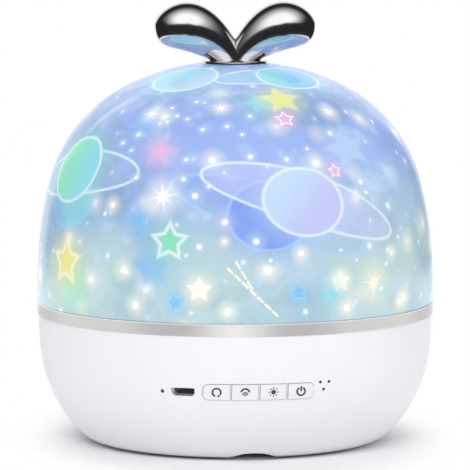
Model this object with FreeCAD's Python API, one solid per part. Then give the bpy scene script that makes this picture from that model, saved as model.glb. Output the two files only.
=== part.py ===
import FreeCAD, Part
import math
import os

# Star night light projector. Millimetres, +Z up, the controls face -Y.
# The origin is the centre of the lamp's outline on the surface it stands on.

# Running and seating clearances
running_gap = 0.05
seat_gap = 0.15
loose_gap = 0.3

# White bowl
base_radius = 64.5
base_top = 41.9
base_wall = 2.2
rim_height = 0.5
rim_land = 2.0
upper_flank_radius = 111.6
upper_flank_turn = 6.1
lower_flank_radius = 44.7
toe_radius = 9.3
ledge_width = 5.4
ledge_thickness = 2.0

# Finger notch in the rim
notch_radius = 15.0
notch_height = 2.3
notch_corner = 6.0

# Underside
foot_height = 1.2
foot_radius = 4.0
foot_pocket = 0.5
foot_circle = 32.0
foot_count = 4
cover_thickness = 2.0
cover_screw_count = 3

# Silver ring
ring_overhang = 0.5
ring_height = 4.3
ring_wall = 1.8
ring_floor = 1.2
ring_spigot_wall = 2.2
ring_spigot_depth = 1.9
ring_edge = 0.3

# Deck that closes the bowl
deck_thickness = 2.0
deck_boss_height = 1.0
deck_post_radius = 3.0
deck_post_inset = 5.2
deck_post_height = 16.0
deck_post_count = 4

# Milky outer dome
dome_setback = 0.1
dome_wall = 2.0
dome_waist = 52.9
dome_top = 124.6
dome_side_radius = 128.5
dome_side_turn = 14.4
dome_shoulder_radius = 48.9
dome_spigot_wall = 1.8
dome_spigot_depth = 2.9
dome_shoulder_height = 2.0
crown_drop = 1.1
crown_thickness = 2.5
crown_boss_radius = 9.0

# Sprout on the crown
disc_radius = 11.0
disc_thickness = 1.2
disc_edge = 0.4
sprout_boss_radius = 3.0
leaf_reach = 26.5
leaf_tip_rise = 11.6
leaf_depth = 6.4
leaf_depth_share = 0.8
leaf_sections = 14

# The leaf's upper and lower outlines seen from the front: each starts in the foot, heads for its bend
# and comes into the tip along a vertical pull. Each pair is a reach and a rise above the disc.
leaf_upper_foot = [-3.0, 0.9]
leaf_upper_bend = [9.3, 29.7]
leaf_upper_pull = 5.6
leaf_lower_foot = [5.7, -1.5]
leaf_lower_bend = [17.6, 6.3]
leaf_lower_pull = 10.2

# Sprout's screw and washer
washer_radius = 6.0
washer_thickness = 0.8

# Gear train that turns the film
gear_module = 0.8
gear_width = 3.0
gear_backlash = 0.2
pressure_angle = 25.0
addendum_share = 0.75
dedendum_share = 1.0
hub_teeth = 60
idler_teeth = 24
pinion_teeth = 12
idler_bearing = 90.0
pinion_bearing = 45.0
idler_pin_radius = 1.5
idler_head_radius = 2.6
idler_head_height = 0.4
motor_shaft_radius = 1.0

# Turntable and the clear dome that holds the film
turntable_thickness = 1.6
turntable_neck = 0.6
turntable_lip_width = 2.2
turntable_lip_height = 2.0
turntable_sleeve_wall = 2.6
turntable_sleeve_height = 4.0
turntable_clearance = 6.25
film_dome_wall = 1.2
film_dome_skirt = 2.0
film_thickness = 0.3

# Lamp post, lamp and lens
post_radius = 7.0
post_bore = 4.6
post_flange_radius = 12.0
post_flange_thickness = 1.6
lamp_height = 56.0
board_thickness = 1.6
led_board_radius = 9.0
led_size = 3.5
led_height = 1.4
led_pitch = 4.6
led_well_radius = 1.3
lens_radius = 8.6
lens_crown = 4.0
lens_edge = 1.0
lens_cup_wall = 1.2
lens_cup_height = 6.0

# Motor under the deck
motor_radius = 9.0
motor_length = 14.0
motor_boss_radius = 3.5
motor_ear_thickness = 1.5
motor_screw_reach = 11.5
motor_lead_share = 0.6

# Keys in the front of the bowl
key_count = 4
key_strip_width = 35.2
key_spacing = 0.7
key_height = 5.0
key_centre = 24.1
key_proud = 0.45
key_plate = 1.6
key_lip = 0.7
key_lip_thickness = 1.2
key_travel = 0.5
key_corner = 1.6
stem_width = 3.0
stem_height = 2.2
stem_length = 1.5
key_names = ["rotate", "colour", "brightness", "power"]

# Side switches behind the keys
switch_width = 6.0
switch_depth = 3.5
switch_height = 3.0
plunger_width = 1.8
plunger_height = 1.4
plunger_reach = 1.0
plunger_hold = 1.2

# Main board on its four posts
board_half_width = 33.5
board_back = -27.0
board_margin = 0.8
board_post_radius = 2.6
board_post_circle = 43.8
board_post_angles = [-40.0, -22.0, 22.0, 40.0]
chip_row = -43.0
controller_size = [10.0, 6.0, 1.6]
charger_size = [5.0, 4.0, 1.5]
charger_place = -21.5
coil_row = -33.0
coil_place = -11.0
coil_radius = 3.0
coil_height = 3.0
capacitor_radius = 2.0
capacitor_height = 5.4
capacitor_places = [14.5, 20.0]

# Charging socket, charge light and sound holes, angles measured from the front
usb_angle = -22.2
usb_width = 7.6
usb_height = 2.7
usb_corner = 0.9
usb_depth = 5.6
usb_shell = 0.3
usb_lift = 1.3
tongue_width = 4.8
tongue_thickness = 0.6
tongue_recess = 1.0
light_angle = -28.5
light_radius = 0.65
light_recess = 0.9
charge_lamp_size = 1.6
charge_lamp_depth = 1.0
sound_hole_radius = 0.42
sound_holes = [[18.2, 26.7], [21.0, 26.7], [19.5, 24.3]]
sounder_angle = 20.0
sounder_width = 4.0
sounder_height = 5.6
sounder_depth = 2.4

# Rechargeable cell in its holder
cell_radius = 9.2
cell_length = 65.2
holder_wall = 1.4
holder_height = 10.0
contact_thickness = 0.4
contact_dimple_radius = 3.0
contact_gap = 1.0

# Screws
screw_radius = 1.0
screw_head_radius = 1.9
screw_head_height = 1.2
screw_length = 6.0
sprout_screw_radius = 1.4
sprout_head_radius = 3.0
sprout_head_height = 1.8
sprout_screw_depth = 4.5
cross_width = 0.5
cross_length = 2.2
cross_depth = 0.6

# Leads
lead_radius = 0.6
lead_spacing = 1.8
lead_bend = 3.0

Z = FreeCAD.Vector(0, 0, 1)
origin = FreeCAD.Vector(0, 0, 0)

# Widths that follow from the bowl's radius
ring_radius = base_radius + ring_overhang
ring_bore = ring_radius - ring_wall
dome_radius = ring_radius - dome_setback
dome_spigot_outer = ring_bore - seat_gap
dome_spigot_inner = dome_spigot_outer - dome_spigot_wall
turntable_radius = dome_spigot_inner - turntable_clearance
film_dome_radius = turntable_radius - turntable_lip_width - loose_gap

# Heights that follow from the driving sizes
ring_top = base_top + ring_height
deck_top = base_top - ring_spigot_depth
deck_floor = deck_top - deck_thickness
gear_floor = deck_top + deck_boss_height
gear_top = gear_floor + gear_width
turntable_floor = gear_top + turntable_neck
turntable_top = turntable_floor + turntable_thickness
crown_seat = dome_top - crown_drop
crown_floor = crown_seat - crown_thickness
disc_top = crown_seat + disc_thickness
cover_top = foot_height + cover_thickness
ledge_top = cover_top + ledge_thickness
board_top = key_centre - switch_height / 2
board_floor = board_top - board_thickness
socket_centre = board_top + usb_lift
cell_centre = cover_top + holder_wall + seat_gap + cell_radius
key_width = (key_strip_width - (key_count - 1) * key_spacing) / key_count
key_pitch = key_width + key_spacing
lamp_floor = lamp_height + board_thickness


def vec(x, y, z):
    return FreeCAD.Vector(x, y, z)


def polar(radius, degrees, z=0.0):
    angle = math.radians(degrees)
    return vec(radius * math.cos(angle), radius * math.sin(angle), z)


def front(radius, degrees, z=0.0):
    # A point at an angle from the front, positive towards +X
    return polar(radius, degrees - 90, z)


def cylinder(radius, floor, top, centre=origin):
    return Part.makeCylinder(radius, top - floor, vec(centre.x, centre.y, floor), Z)


def tube(outer, inner, floor, top, centre=origin):
    return cylinder(outer, floor, top, centre).cut(cylinder(inner, floor, top, centre))


def block(low, high):
    return Part.makeBox(high[0] - low[0], high[1] - low[1], high[2] - low[2], vec(*low))


def turned(shape, degrees):
    # A copy of a shape that was built at the front, turned about the lamp's axis
    copy = shape.copy()
    copy.rotate(origin, Z, degrees)
    return copy


def join(shapes):
    whole = shapes[0]
    for shape in shapes[1:]:
        whole = whole.fuse(shape)
    return whole.removeSplitter()


def section_arc(centre, radius, start, end):
    # An arc in the XZ plane about a centre (r, z), angles in radians
    points = []
    for angle in (start, (start + end) / 2, end):
        points.append(vec(centre[0] + radius * math.cos(angle), 0, centre[1] + radius * math.sin(angle)))
    return Part.Arc(*points).toShape()


def section_line(start, end):
    return Part.makeLine(vec(start[0], 0, start[1]), vec(end[0], 0, end[1]))


def revolved(edges):
    wire = Part.Wire(Part.__sortEdges__(edges))
    return Part.Face(wire).revolve(origin, Z, 360)


def revolved_outline(points):
    edges = []
    for start, end in zip(points, points[1:] + points[:1]):
        edges.append(section_line(start, end))
    return revolved(edges)


# The bowl's side is three tangent arcs from its top edge down to the rim.
def base_arcs():
    turn = math.radians(upper_flank_turn)
    upper = (base_radius - upper_flank_radius, base_top)
    step = upper_flank_radius - lower_flank_radius
    lower = (upper[0] + step * math.cos(turn), upper[1] - step * math.sin(turn))
    step = lower_flank_radius - toe_radius
    total = math.asin((lower[1] - rim_height - toe_radius) / step)
    toe = (lower[0] + step * math.cos(total), lower[1] - step * math.sin(total))
    return [
        (upper, upper_flank_radius, 0.0, -turn),
        (lower, lower_flank_radius, -turn, -total),
        (toe, toe_radius, -total, -math.pi / 2),
    ]


# The dome's side is three tangent arcs from its waist to the crown, the last centred on the axis.
def dome_arcs():
    turn = math.radians(dome_side_turn)
    side = (dome_radius - dome_side_radius, dome_waist)
    step = dome_side_radius - dome_shoulder_radius
    shoulder = (side[0] + step * math.cos(turn), side[1] + step * math.sin(turn))
    total = math.pi / 2 - 2 * math.atan((dome_top - shoulder[1] - dome_shoulder_radius) / shoulder[0])
    top_radius = dome_shoulder_radius + shoulder[0] / math.cos(total)
    top = (0.0, dome_top - top_radius)
    return [
        (side, dome_side_radius, 0.0, turn),
        (shoulder, dome_shoulder_radius, turn, total),
        (top, top_radius, total, math.pi / 2),
    ]


def arc_end(arc, inset, angle):
    centre, radius = arc[0], arc[1] - inset
    return (centre[0] + radius * math.cos(angle), centre[1] + radius * math.sin(angle))


def angle_at_height(arc, inset, height):
    # Where an arc of the side passes a height, on the side away from the axis
    return math.asin((height - arc[0][1]) / (arc[1] - inset))


def arcs_to_height(arcs, inset, height):
    # The chain of arcs with an inset, cut off where it reaches a height
    edges = []
    for arc in arcs:
        centre, radius, start, end = arc
        last = arc_end(arc, inset, end)[1]
        first = arc_end(arc, inset, start)[1]
        inside = min(first, last) < height < max(first, last)
        stop = angle_at_height(arc, inset, height) if inside else end
        edges.append(section_arc(centre, radius - inset, start, stop))
        if inside:
            return edges, arc_end(arc, inset, stop)
    return edges, arc_end(arcs[-1], inset, arcs[-1][3])


def base_wall_radius(height, inset=0.0):
    # The bowl's radius at a height, measured inwards from its outer face by the inset
    return arcs_to_height(base_arcs(), inset, height)[1][0]


def base_body(inset, floor):
    # A solid bowl whose side lies inside the outer face by the inset, cut flat at a floor
    edges, foot = arcs_to_height(base_arcs(), inset, floor)
    edges.append(section_line(foot, (0.0, foot[1])))
    edges.append(section_line((0.0, foot[1]), (0.0, base_top)))
    edges.append(section_line((0.0, base_top), (base_radius - inset, base_top)))
    return revolved(edges)


rim_radius = base_arcs()[2][0][0]
rim_inner = rim_radius - rim_land
ledge_inner = rim_inner - ledge_width
cover_radius = rim_inner - seat_gap
cover_screw_circle = (rim_inner + ledge_inner) / 2
deck_radius = base_wall_radius(deck_top, base_wall) - seat_gap
deck_post_circle = deck_radius - deck_post_inset
lip_back = base_wall + loose_gap + key_lip_thickness
board_radius = base_wall_radius(board_floor, lip_back) - key_travel - board_margin


def pitch_radius(teeth):
    return gear_module * teeth / 2


hub_idler_distance = pitch_radius(hub_teeth) + pitch_radius(idler_teeth)
idler_pinion_distance = pitch_radius(idler_teeth) + pitch_radius(pinion_teeth)
idler_centre = polar(hub_idler_distance, idler_bearing)
motor_centre = idler_centre + polar(idler_pinion_distance, pinion_bearing)


def screw(radius, head_radius, head_height, length):
    # A pan-head cross screw with its head above z = 0 and its shank below
    head = cylinder(head_radius, 0, head_height)
    head = head.makeFillet(head_height * 0.4, [head.Edges[0]])
    for size in ((cross_length, cross_width), (cross_width, cross_length)):
        low = (-size[0] / 2, -size[1] / 2, head_height - cross_depth)
        head = head.cut(block(low, (size[0] / 2, size[1] / 2, head_height)))
    return head.fuse(cylinder(radius, -length, 0)).removeSplitter()


def placed_screw(centre, seat, down=True, length=screw_length):
    piece = screw(screw_radius, screw_head_radius, screw_head_height, length)
    if not down:
        piece.rotate(origin, vec(1, 0, 0), 180)
    piece.translate(vec(centre.x, centre.y, seat))
    return piece


def pilot_hole(centre, floor, top):
    return cylinder(screw_radius + running_gap, floor, top, centre)


def deck_screw_centres():
    return [polar(deck_post_circle, 45 + 360 / deck_post_count * i) for i in range(deck_post_count)]


def cover_screw_centres():
    return [polar(cover_screw_circle, 90 + 360 / cover_screw_count * i) for i in range(cover_screw_count)]


def board_post_centres():
    return [front(board_post_circle, angle) for angle in board_post_angles]


def post_screw_centres():
    circle = (post_flange_radius + post_radius) / 2
    return [polar(circle, 60 + 120 * i) for i in range(3)]


def motor_screw_centres():
    side = pinion_bearing + 90
    return [motor_centre + polar(motor_screw_reach, side), motor_centre - polar(motor_screw_reach, side)]


def key_middle(index):
    return (index - (key_count - 1) / 2) * key_pitch


def switch_front(index):
    # Where the front of a switch's plunger stands, behind the key's stem
    back = base_wall_radius(key_centre, lip_back)
    return -math.sqrt(back ** 2 - key_middle(index) ** 2) + stem_length


# Key openings and keys

def key_prism(index, grow, depth):
    # A key's outline seen from the front, carried along Y, with the strip's outer corners rounded
    left = key_middle(index) - key_width / 2 - grow
    right = key_middle(index) + key_width / 2 + grow
    low = key_centre - key_height / 2 - grow
    high = key_centre + key_height / 2 + grow
    prism = block((left, -base_radius - depth, low), (right, -base_radius + depth, high))
    ends = []
    if index == 0:
        ends.append(left)
    if index == key_count - 1:
        ends.append(right)
    corners = []
    for edge in prism.Edges:
        middle = edge.CenterOfMass
        along = abs(edge.Vertexes[0].Y - edge.Vertexes[1].Y) > depth
        if along and any(abs(middle.x - x) < running_gap for x in ends):
            corners.append(edge)
    if corners:
        prism = prism.makeFillet(key_corner + grow, corners)
    return prism


def key_depth():
    # Deep enough to cross the curved wall at the end keys
    return base_radius - math.sqrt(base_radius ** 2 - (key_strip_width / 2 + key_lip) ** 2) + base_wall * 4


def key_button(index):
    depth = key_depth()
    floor = key_centre - key_height
    outer = base_body(-key_proud, floor)
    plate = outer.cut(base_body(lip_back, floor)).common(key_prism(index, 0, depth))
    half_lip = key_height / 2 + key_lip
    left = key_middle(index) - key_width / 2
    right = key_middle(index) + key_width / 2
    lip_box = block(
        (left, -base_radius, key_centre - half_lip),
        (right, -base_radius + depth, key_centre + half_lip),
    )
    lip = base_body(base_wall + loose_gap, floor).cut(base_body(lip_back, floor)).common(lip_box)
    start = -base_wall_radius(key_centre, lip_back) - key_lip_thickness / 2
    middle = key_middle(index)
    stem = block(
        (middle - stem_width / 2, start + key_plate / 2, key_centre - stem_height / 2),
        (middle + stem_width / 2, switch_front(index), key_centre + stem_height / 2),
    )
    stem = stem.common(base_body(base_wall + loose_gap, floor))
    return join([plate, lip, stem])


def switch_housing(index):
    middle = key_middle(index)
    face = switch_front(index) + plunger_reach
    body = block(
        (middle - switch_width / 2, face, board_top),
        (middle + switch_width / 2, face + switch_depth, board_top + switch_height),
    )
    pocket = block(
        (middle - plunger_width / 2 - running_gap, face, key_centre - plunger_height / 2 - running_gap),
        (
            middle + plunger_width / 2 + running_gap,
            face + plunger_hold + key_travel + running_gap,
            key_centre + plunger_height / 2 + running_gap,
        ),
    )
    return body.cut(pocket)


def switch_plunger(index):
    middle = key_middle(index)
    start = switch_front(index)
    return block(
        (middle - plunger_width / 2, start, key_centre - plunger_height / 2),
        (middle + plunger_width / 2, start + plunger_reach + plunger_hold, key_centre + plunger_height / 2),
    )


# Openings for the socket, the charge light and the sound

def usb_outline(grow):
    # The socket's outline seen from the front, with its lower corners cut off
    half = usb_width / 2 + grow
    low = socket_centre - usb_height / 2 - grow
    high = socket_centre + usb_height / 2 + grow
    return [(-half, high), (half, high), (half, low + usb_corner), (half - usb_corner, low),
            (-half + usb_corner, low), (-half, low + usb_corner)]


def usb_prism(grow, outer, inner):
    # The outline carried inwards along the front's axis from one radius to another
    points = [vec(x, -outer, z) for x, z in usb_outline(grow)]
    face = Part.Face(Part.makePolygon(points + points[:1]))
    return face.extrude(vec(0, outer - inner, 0))


def usb_front():
    return base_wall_radius(board_top, base_wall) - loose_gap


def radial_hole(radius, angle, height, outer, inner):
    hole = Part.makeCylinder(radius, outer - inner, vec(0, -outer, height), vec(0, 1, 0))
    return turned(hole, angle)


# Bowl and its underside

def notch_cutter():
    # An arch through the front rim whose lower corners flare out
    arch_z = rim_height + notch_height - notch_radius
    corner_z = rim_height + notch_corner
    reach = math.sqrt((notch_radius + notch_corner) ** 2 - (corner_z - arch_z) ** 2)
    lean = math.atan2(corner_z - arch_z, reach)
    join_x = notch_radius * math.cos(lean)
    join_z = arch_z + notch_radius * math.sin(lean)
    half = (lean + math.pi / 2) / 2
    bend_x = reach - notch_corner * math.cos(half)
    bend_z = corner_z - notch_corner * math.sin(half)
    y = -base_radius
    below = rim_height - notch_corner
    edges = [
        Part.Arc(vec(-join_x, y, join_z), vec(0, y, arch_z + notch_radius), vec(join_x, y, join_z)).toShape(),
        Part.Arc(vec(join_x, y, join_z), vec(bend_x, y, bend_z), vec(reach, y, rim_height)).toShape(),
        Part.makeLine(vec(reach, y, rim_height), vec(reach, y, below)),
        Part.makeLine(vec(reach, y, below), vec(-reach, y, below)),
        Part.makeLine(vec(-reach, y, below), vec(-reach, y, rim_height)),
        Part.Arc(vec(-reach, y, rim_height), vec(-bend_x, y, bend_z), vec(-join_x, y, join_z)).toShape(),
    ]
    return Part.Face(Part.Wire(edges)).extrude(vec(0, base_radius - cover_radius + rim_land, 0))


def holder_room():
    # The cell's holder passes through the ledge
    half_x = holder_half_length() + loose_gap
    half_y = holder_half_width() + loose_gap
    return block((-half_x, -half_y, cover_top), (half_x, half_y, cover_top + holder_height + loose_gap))


def base_shell():
    arcs = base_arcs()
    outer, rim = arcs_to_height(arcs, 0.0, rim_height - 1)
    inner, foot = arcs_to_height(arcs, base_wall, ledge_top)
    edges = outer + inner
    path = [rim, (rim_inner, rim_height), (rim_inner, cover_top), (ledge_inner, cover_top),
            (ledge_inner, ledge_top), foot]
    for start, end in zip(path, path[1:]):
        edges.append(section_line(start, end))
    edges.append(section_line((base_radius, base_top), (base_radius - base_wall, base_top)))
    shell = revolved(edges)
    hollow = base_body(base_wall / 2, ledge_top - ledge_thickness / 2)
    posts = []
    for centre in deck_screw_centres():
        posts.append(cylinder(deck_post_radius, deck_floor - deck_post_height, deck_floor, centre))
        rib = block((deck_post_circle, -base_wall / 2, deck_floor - deck_post_height),
                    (base_radius, base_wall / 2, deck_floor))
        posts.append(turned(rib, math.degrees(math.atan2(centre.y, centre.x))))
    for centre in board_post_centres():
        posts.append(cylinder(board_post_radius, ledge_top - ledge_thickness / 2, board_floor, centre))
    for centre in cover_screw_centres():
        posts.append(cylinder(ledge_width / 2, ledge_top - ledge_thickness / 2, cover_top + screw_length, centre))
    shell = shell.fuse([post.common(hollow) for post in posts])
    cuts = [notch_cutter(), holder_room()]
    for index in range(key_count):
        cuts.append(key_prism(index, seat_gap, key_depth()))
    cuts.append(turned(usb_prism(0, base_radius + base_wall, usb_front() - usb_shell), usb_angle))
    cuts.append(radial_hole(light_radius, light_angle, socket_centre, base_radius, usb_front()))
    for angle, height in sound_holes:
        cuts.append(radial_hole(sound_hole_radius, angle, height, base_radius, usb_front()))
    for centre in deck_screw_centres():
        cuts.append(pilot_hole(centre, deck_floor - screw_length - seat_gap, deck_floor))
    for centre in board_post_centres():
        cuts.append(pilot_hole(centre, board_floor - screw_length, board_floor))
    for centre in cover_screw_centres():
        cuts.append(pilot_hole(centre, cover_top, cover_top + screw_length - board_thickness))
    return shell.cut(cuts).removeSplitter()


def foot_centres():
    return [polar(foot_circle, 45 + 360 / foot_count * i) for i in range(foot_count)]


def bottom_cover():
    cover = cylinder(cover_radius, foot_height, cover_top)
    for centre in foot_centres():
        cover = cover.cut(cylinder(foot_radius + seat_gap, foot_height, foot_height + foot_pocket, centre))
    for centre in cover_screw_centres():
        cover = cover.cut(pilot_hole(centre, foot_height, cover_top))
        head_room = cylinder(screw_head_radius + seat_gap, foot_height, foot_height + screw_head_height, centre)
        cover = cover.cut(head_room)
    return cover


def rubber_feet():
    feet = []
    for centre in foot_centres():
        pad = cylinder(foot_radius, 0, foot_height + foot_pocket, centre)
        lowest = [edge for edge in pad.Edges if edge.CenterOfMass.z < running_gap]
        feet.append(pad.makeFillet(foot_height / 4, lowest))
    return Part.Compound(feet)


def cover_screws():
    seat = foot_height + screw_head_height
    length = screw_length - cover_thickness
    return Part.Compound([placed_screw(c, seat, False, length) for c in cover_screw_centres()])


# Ring, deck and screws

def trim_ring():
    spigot_outer = base_radius - base_wall - seat_gap
    spigot_inner = spigot_outer - ring_spigot_wall
    points = [
        (spigot_inner, deck_top),
        (spigot_outer, deck_top),
        (spigot_outer, base_top),
        (ring_radius - ring_edge, base_top),
        (ring_radius, base_top + ring_edge),
        (ring_radius, ring_top - ring_edge),
        (ring_radius - ring_edge, ring_top),
        (ring_bore, ring_top),
        (ring_bore, base_top + ring_floor),
        (spigot_inner, base_top + ring_floor),
    ]
    return revolved_outline(points)


def deck_plate():
    deck = cylinder(deck_radius, deck_floor, deck_top)
    deck = deck.fuse(cylinder(post_radius + running_gap + deck_post_radius, deck_top, gear_floor))
    deck = deck.fuse(cylinder(idler_pin_radius + deck_thickness, deck_top, gear_floor, idler_centre))
    cuts = [
        cylinder(post_radius + running_gap, deck_floor, gear_floor),
        cylinder(idler_pin_radius + running_gap, deck_floor, gear_floor, idler_centre),
        cylinder(motor_boss_radius + seat_gap, deck_floor, deck_top, motor_centre),
    ]
    for centre in deck_screw_centres() + motor_screw_centres() + post_screw_centres():
        cuts.append(pilot_hole(centre, deck_floor, gear_floor))
    return deck.cut(cuts).removeSplitter()


def deck_screws():
    return Part.Compound([placed_screw(c, deck_top) for c in deck_screw_centres()])


# Outer dome and sprout

def outer_dome():
    arcs = dome_arcs()
    outer, seat = arcs_to_height(arcs, 0.0, crown_seat)
    spigot_floor = ring_top - dome_spigot_depth
    shoulder_top = ring_top + dome_shoulder_height
    inner_radius = dome_radius - dome_wall
    side, shoulder, crown = arcs
    hole = sprout_boss_radius + seat_gap
    crown_turn = math.acos(crown_boss_radius / (crown[1] - dome_wall))
    boss_meet = arc_end(crown, dome_wall, crown_turn)
    edges = list(outer)
    for arc in (side, shoulder):
        edges.append(section_arc(arc[0], arc[1] - dome_wall, arc[2], arc[3]))
    edges.append(section_arc(crown[0], crown[1] - dome_wall, crown[2], crown_turn))
    path = [seat, (hole, crown_seat), (hole, crown_floor), (crown_boss_radius, crown_floor), boss_meet]
    foot = [(inner_radius, dome_waist), (inner_radius, shoulder_top + dome_wall), (dome_spigot_inner, shoulder_top),
            (dome_spigot_inner, spigot_floor), (dome_spigot_outer, spigot_floor), (dome_spigot_outer, ring_top),
            (dome_radius, ring_top), (dome_radius, dome_waist)]
    for chain in (path, foot):
        for start, end in zip(chain, chain[1:]):
            edges.append(section_line(start, end))
    return revolved(edges)


def leaf_edge(foot, bend, pull, share):
    # A point of a leaf's outline, on a cubic curve from its foot to the tip
    tip = (leaf_reach, leaf_tip_rise)
    points = [foot, bend, (leaf_reach, leaf_tip_rise + pull), tip]
    rest = 1 - share
    weights = [rest ** 3, 3 * rest ** 2 * share, 3 * rest * share ** 2, share ** 3]
    x = sum(weight * point[0] for weight, point in zip(weights, points))
    rise = sum(weight * point[1] for weight, point in zip(weights, points))
    return vec(x, 0, disc_top + rise)


def right_leaf():
    wires = []
    for i in range(leaf_sections):
        # Sections crowd towards the round tip
        share = math.sin(math.pi / 2 * i / leaf_sections)
        high = leaf_edge(leaf_upper_foot, leaf_upper_bend, leaf_upper_pull, share)
        low = leaf_edge(leaf_lower_foot, leaf_lower_bend, -leaf_lower_pull, share)
        half_width = (high - low).Length / 2
        half_depth = min(leaf_depth, half_width * leaf_depth_share)
        middle = (high + low) * 0.5
        ellipse = Part.Ellipse(high, middle + vec(0, half_depth, 0), middle)
        wires.append(Part.Wire(ellipse.toShape()))
    wires.append(Part.Vertex(vec(leaf_reach, 0, disc_top + leaf_tip_rise)))
    leaf = Part.makeLoft(wires, True)
    above = block((0, -leaf_reach, disc_top), (2 * leaf_reach, leaf_reach, disc_top + 2 * leaf_reach))
    return leaf.common(above)


def left_leaf():
    return right_leaf().mirror(origin, vec(1, 0, 0))


def sprout_base():
    disc = cylinder(disc_radius, crown_seat, disc_top)
    disc = disc.makeFillet(disc_edge, [edge for edge in disc.Edges if edge.Curve.TypeId.endswith("Circle")])
    boss = cylinder(sprout_boss_radius, crown_floor + seat_gap, crown_seat + disc_edge)
    hole = cylinder(sprout_screw_radius + running_gap, crown_floor, crown_floor + sprout_screw_depth - disc_edge)
    return disc.fuse(boss).cut(hole).removeSplitter()


def sprout_washer():
    bore = sprout_screw_radius + seat_gap
    return tube(washer_radius, bore, crown_floor - washer_thickness, crown_floor)


def sprout_screw():
    length = washer_thickness + sprout_screw_depth - disc_thickness
    piece = screw(sprout_screw_radius, sprout_head_radius, sprout_head_height, length)
    piece.rotate(origin, vec(1, 0, 0), 180)
    piece.translate(vec(0, 0, crown_floor - washer_thickness))
    return piece


# Gears

def involute_angle(radius, base):
    turn = math.acos(min(1.0, base / radius))
    return math.tan(turn) - turn


def gear(teeth, phase, floor, top):
    # A spur gear about the origin with one tooth at the phase angle, in degrees
    pitch = pitch_radius(teeth)
    base = pitch * math.cos(math.radians(pressure_angle))
    tip = pitch + gear_module * addendum_share
    root = pitch - gear_module * dedendum_share
    half = math.pi / (2 * teeth) - gear_backlash / (4 * pitch)
    start = max(base, root)
    flank = []
    for i in range(5):
        radius = start + (tip - start) * i / 4
        flank.append((radius, half + involute_angle(pitch, base) - involute_angle(radius, base)))
    flank.insert(0, (root, flank[0][1]))
    points = []
    for tooth in range(teeth):
        middle = math.radians(phase) + 2 * math.pi * tooth / teeth
        for radius, turn in flank:
            points.append(polar(radius, math.degrees(middle - turn), floor))
        for radius, turn in reversed(flank):
            points.append(polar(radius, math.degrees(middle + turn), floor))
    face = Part.Face(Part.makePolygon(points + points[:1]))
    return face.extrude(vec(0, 0, top - floor))


def mesh_phase(phase, teeth, other_teeth, bearing):
    # The phase that puts the other gear's tooth in a gap of this one, along the line of centres
    step = 360 / teeth
    ahead = (phase - bearing) % step
    offset = math.radians(ahead) * pitch_radius(teeth) + math.pi * gear_module / 2
    return bearing + 180 - math.degrees(offset / pitch_radius(other_teeth))


idler_phase = mesh_phase(0.0, hub_teeth, idler_teeth, idler_bearing)
pinion_phase = mesh_phase(idler_phase, idler_teeth, pinion_teeth, pinion_bearing)


def turntable():
    lip_inner = film_dome_radius + loose_gap
    neck = pitch_radius(hub_teeth) - gear_module * (dedendum_share + 1)
    sleeve = post_radius + running_gap + turntable_sleeve_wall
    table = join([
        gear(hub_teeth, 0.0, gear_floor, gear_top),
        cylinder(neck, gear_top, turntable_floor),
        cylinder(turntable_radius, turntable_floor, turntable_top),
        tube(turntable_radius, lip_inner, turntable_top, turntable_top + turntable_lip_height),
        cylinder(sleeve, turntable_top, turntable_top + turntable_sleeve_height),
    ])
    bore = cylinder(post_radius + running_gap, gear_floor, turntable_top + turntable_sleeve_height)
    return table.cut(bore)


def idler_gear():
    wheel = gear(idler_teeth, idler_phase, gear_floor, gear_top)
    wheel = wheel.cut(cylinder(idler_pin_radius + running_gap, gear_floor, gear_top))
    wheel.translate(idler_centre)
    return wheel


def idler_pin():
    head_floor = gear_top + running_gap
    shank = cylinder(idler_pin_radius, deck_floor, head_floor, idler_centre)
    return shank.fuse(cylinder(idler_head_radius, head_floor, head_floor + idler_head_height, idler_centre))


def motor_pinion():
    wheel = gear(pinion_teeth, pinion_phase, gear_floor, gear_top)
    wheel = wheel.cut(cylinder(motor_shaft_radius, gear_floor, gear_top))
    wheel.translate(motor_centre)
    return wheel


def motor_shaft():
    return cylinder(motor_shaft_radius, deck_floor - motor_length / 2, gear_top, motor_centre)


def drive_motor():
    can_top = deck_floor - motor_ear_thickness
    can = cylinder(motor_radius, deck_floor - motor_length, can_top, motor_centre)
    ear_reach = motor_screw_reach + screw_head_radius
    ear = block((-ear_reach, -motor_boss_radius, can_top), (ear_reach, motor_boss_radius, deck_floor))
    ear.rotate(origin, Z, pinion_bearing + 90)
    ear.translate(motor_centre)
    boss = cylinder(motor_boss_radius, can_top, deck_top, motor_centre)
    cuts = [pilot_hole(centre, can_top, deck_floor) for centre in motor_screw_centres()]
    shaft_room = deck_floor - motor_length / 2 - running_gap
    cuts.append(cylinder(motor_shaft_radius + running_gap, shaft_room, deck_top, motor_centre))
    return join([can, ear, boss]).cut(cuts)


def motor_screws():
    length = deck_thickness + motor_ear_thickness
    return Part.Compound([placed_screw(c, deck_top, True, length) for c in motor_screw_centres()])


# Film dome and film: a short skirt under a hemisphere

def hemisphere_shell(outer, wall):
    centre = (0.0, turntable_top + film_dome_skirt)
    inner = outer - wall
    edges = [
        section_arc(centre, outer, 0.0, math.pi / 2),
        section_arc(centre, inner, 0.0, math.pi / 2),
        section_line((0.0, centre[1] + inner), (0.0, centre[1] + outer)),
        section_line((outer, turntable_top), (outer, centre[1])),
        section_line((inner, turntable_top), (inner, centre[1])),
        section_line((inner, turntable_top), (outer, turntable_top)),
    ]
    return revolved(edges)


def film_dome():
    return hemisphere_shell(film_dome_radius, film_dome_wall)


def star_film():
    return hemisphere_shell(film_dome_radius - film_dome_wall - loose_gap, film_thickness)


# Lamp

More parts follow.
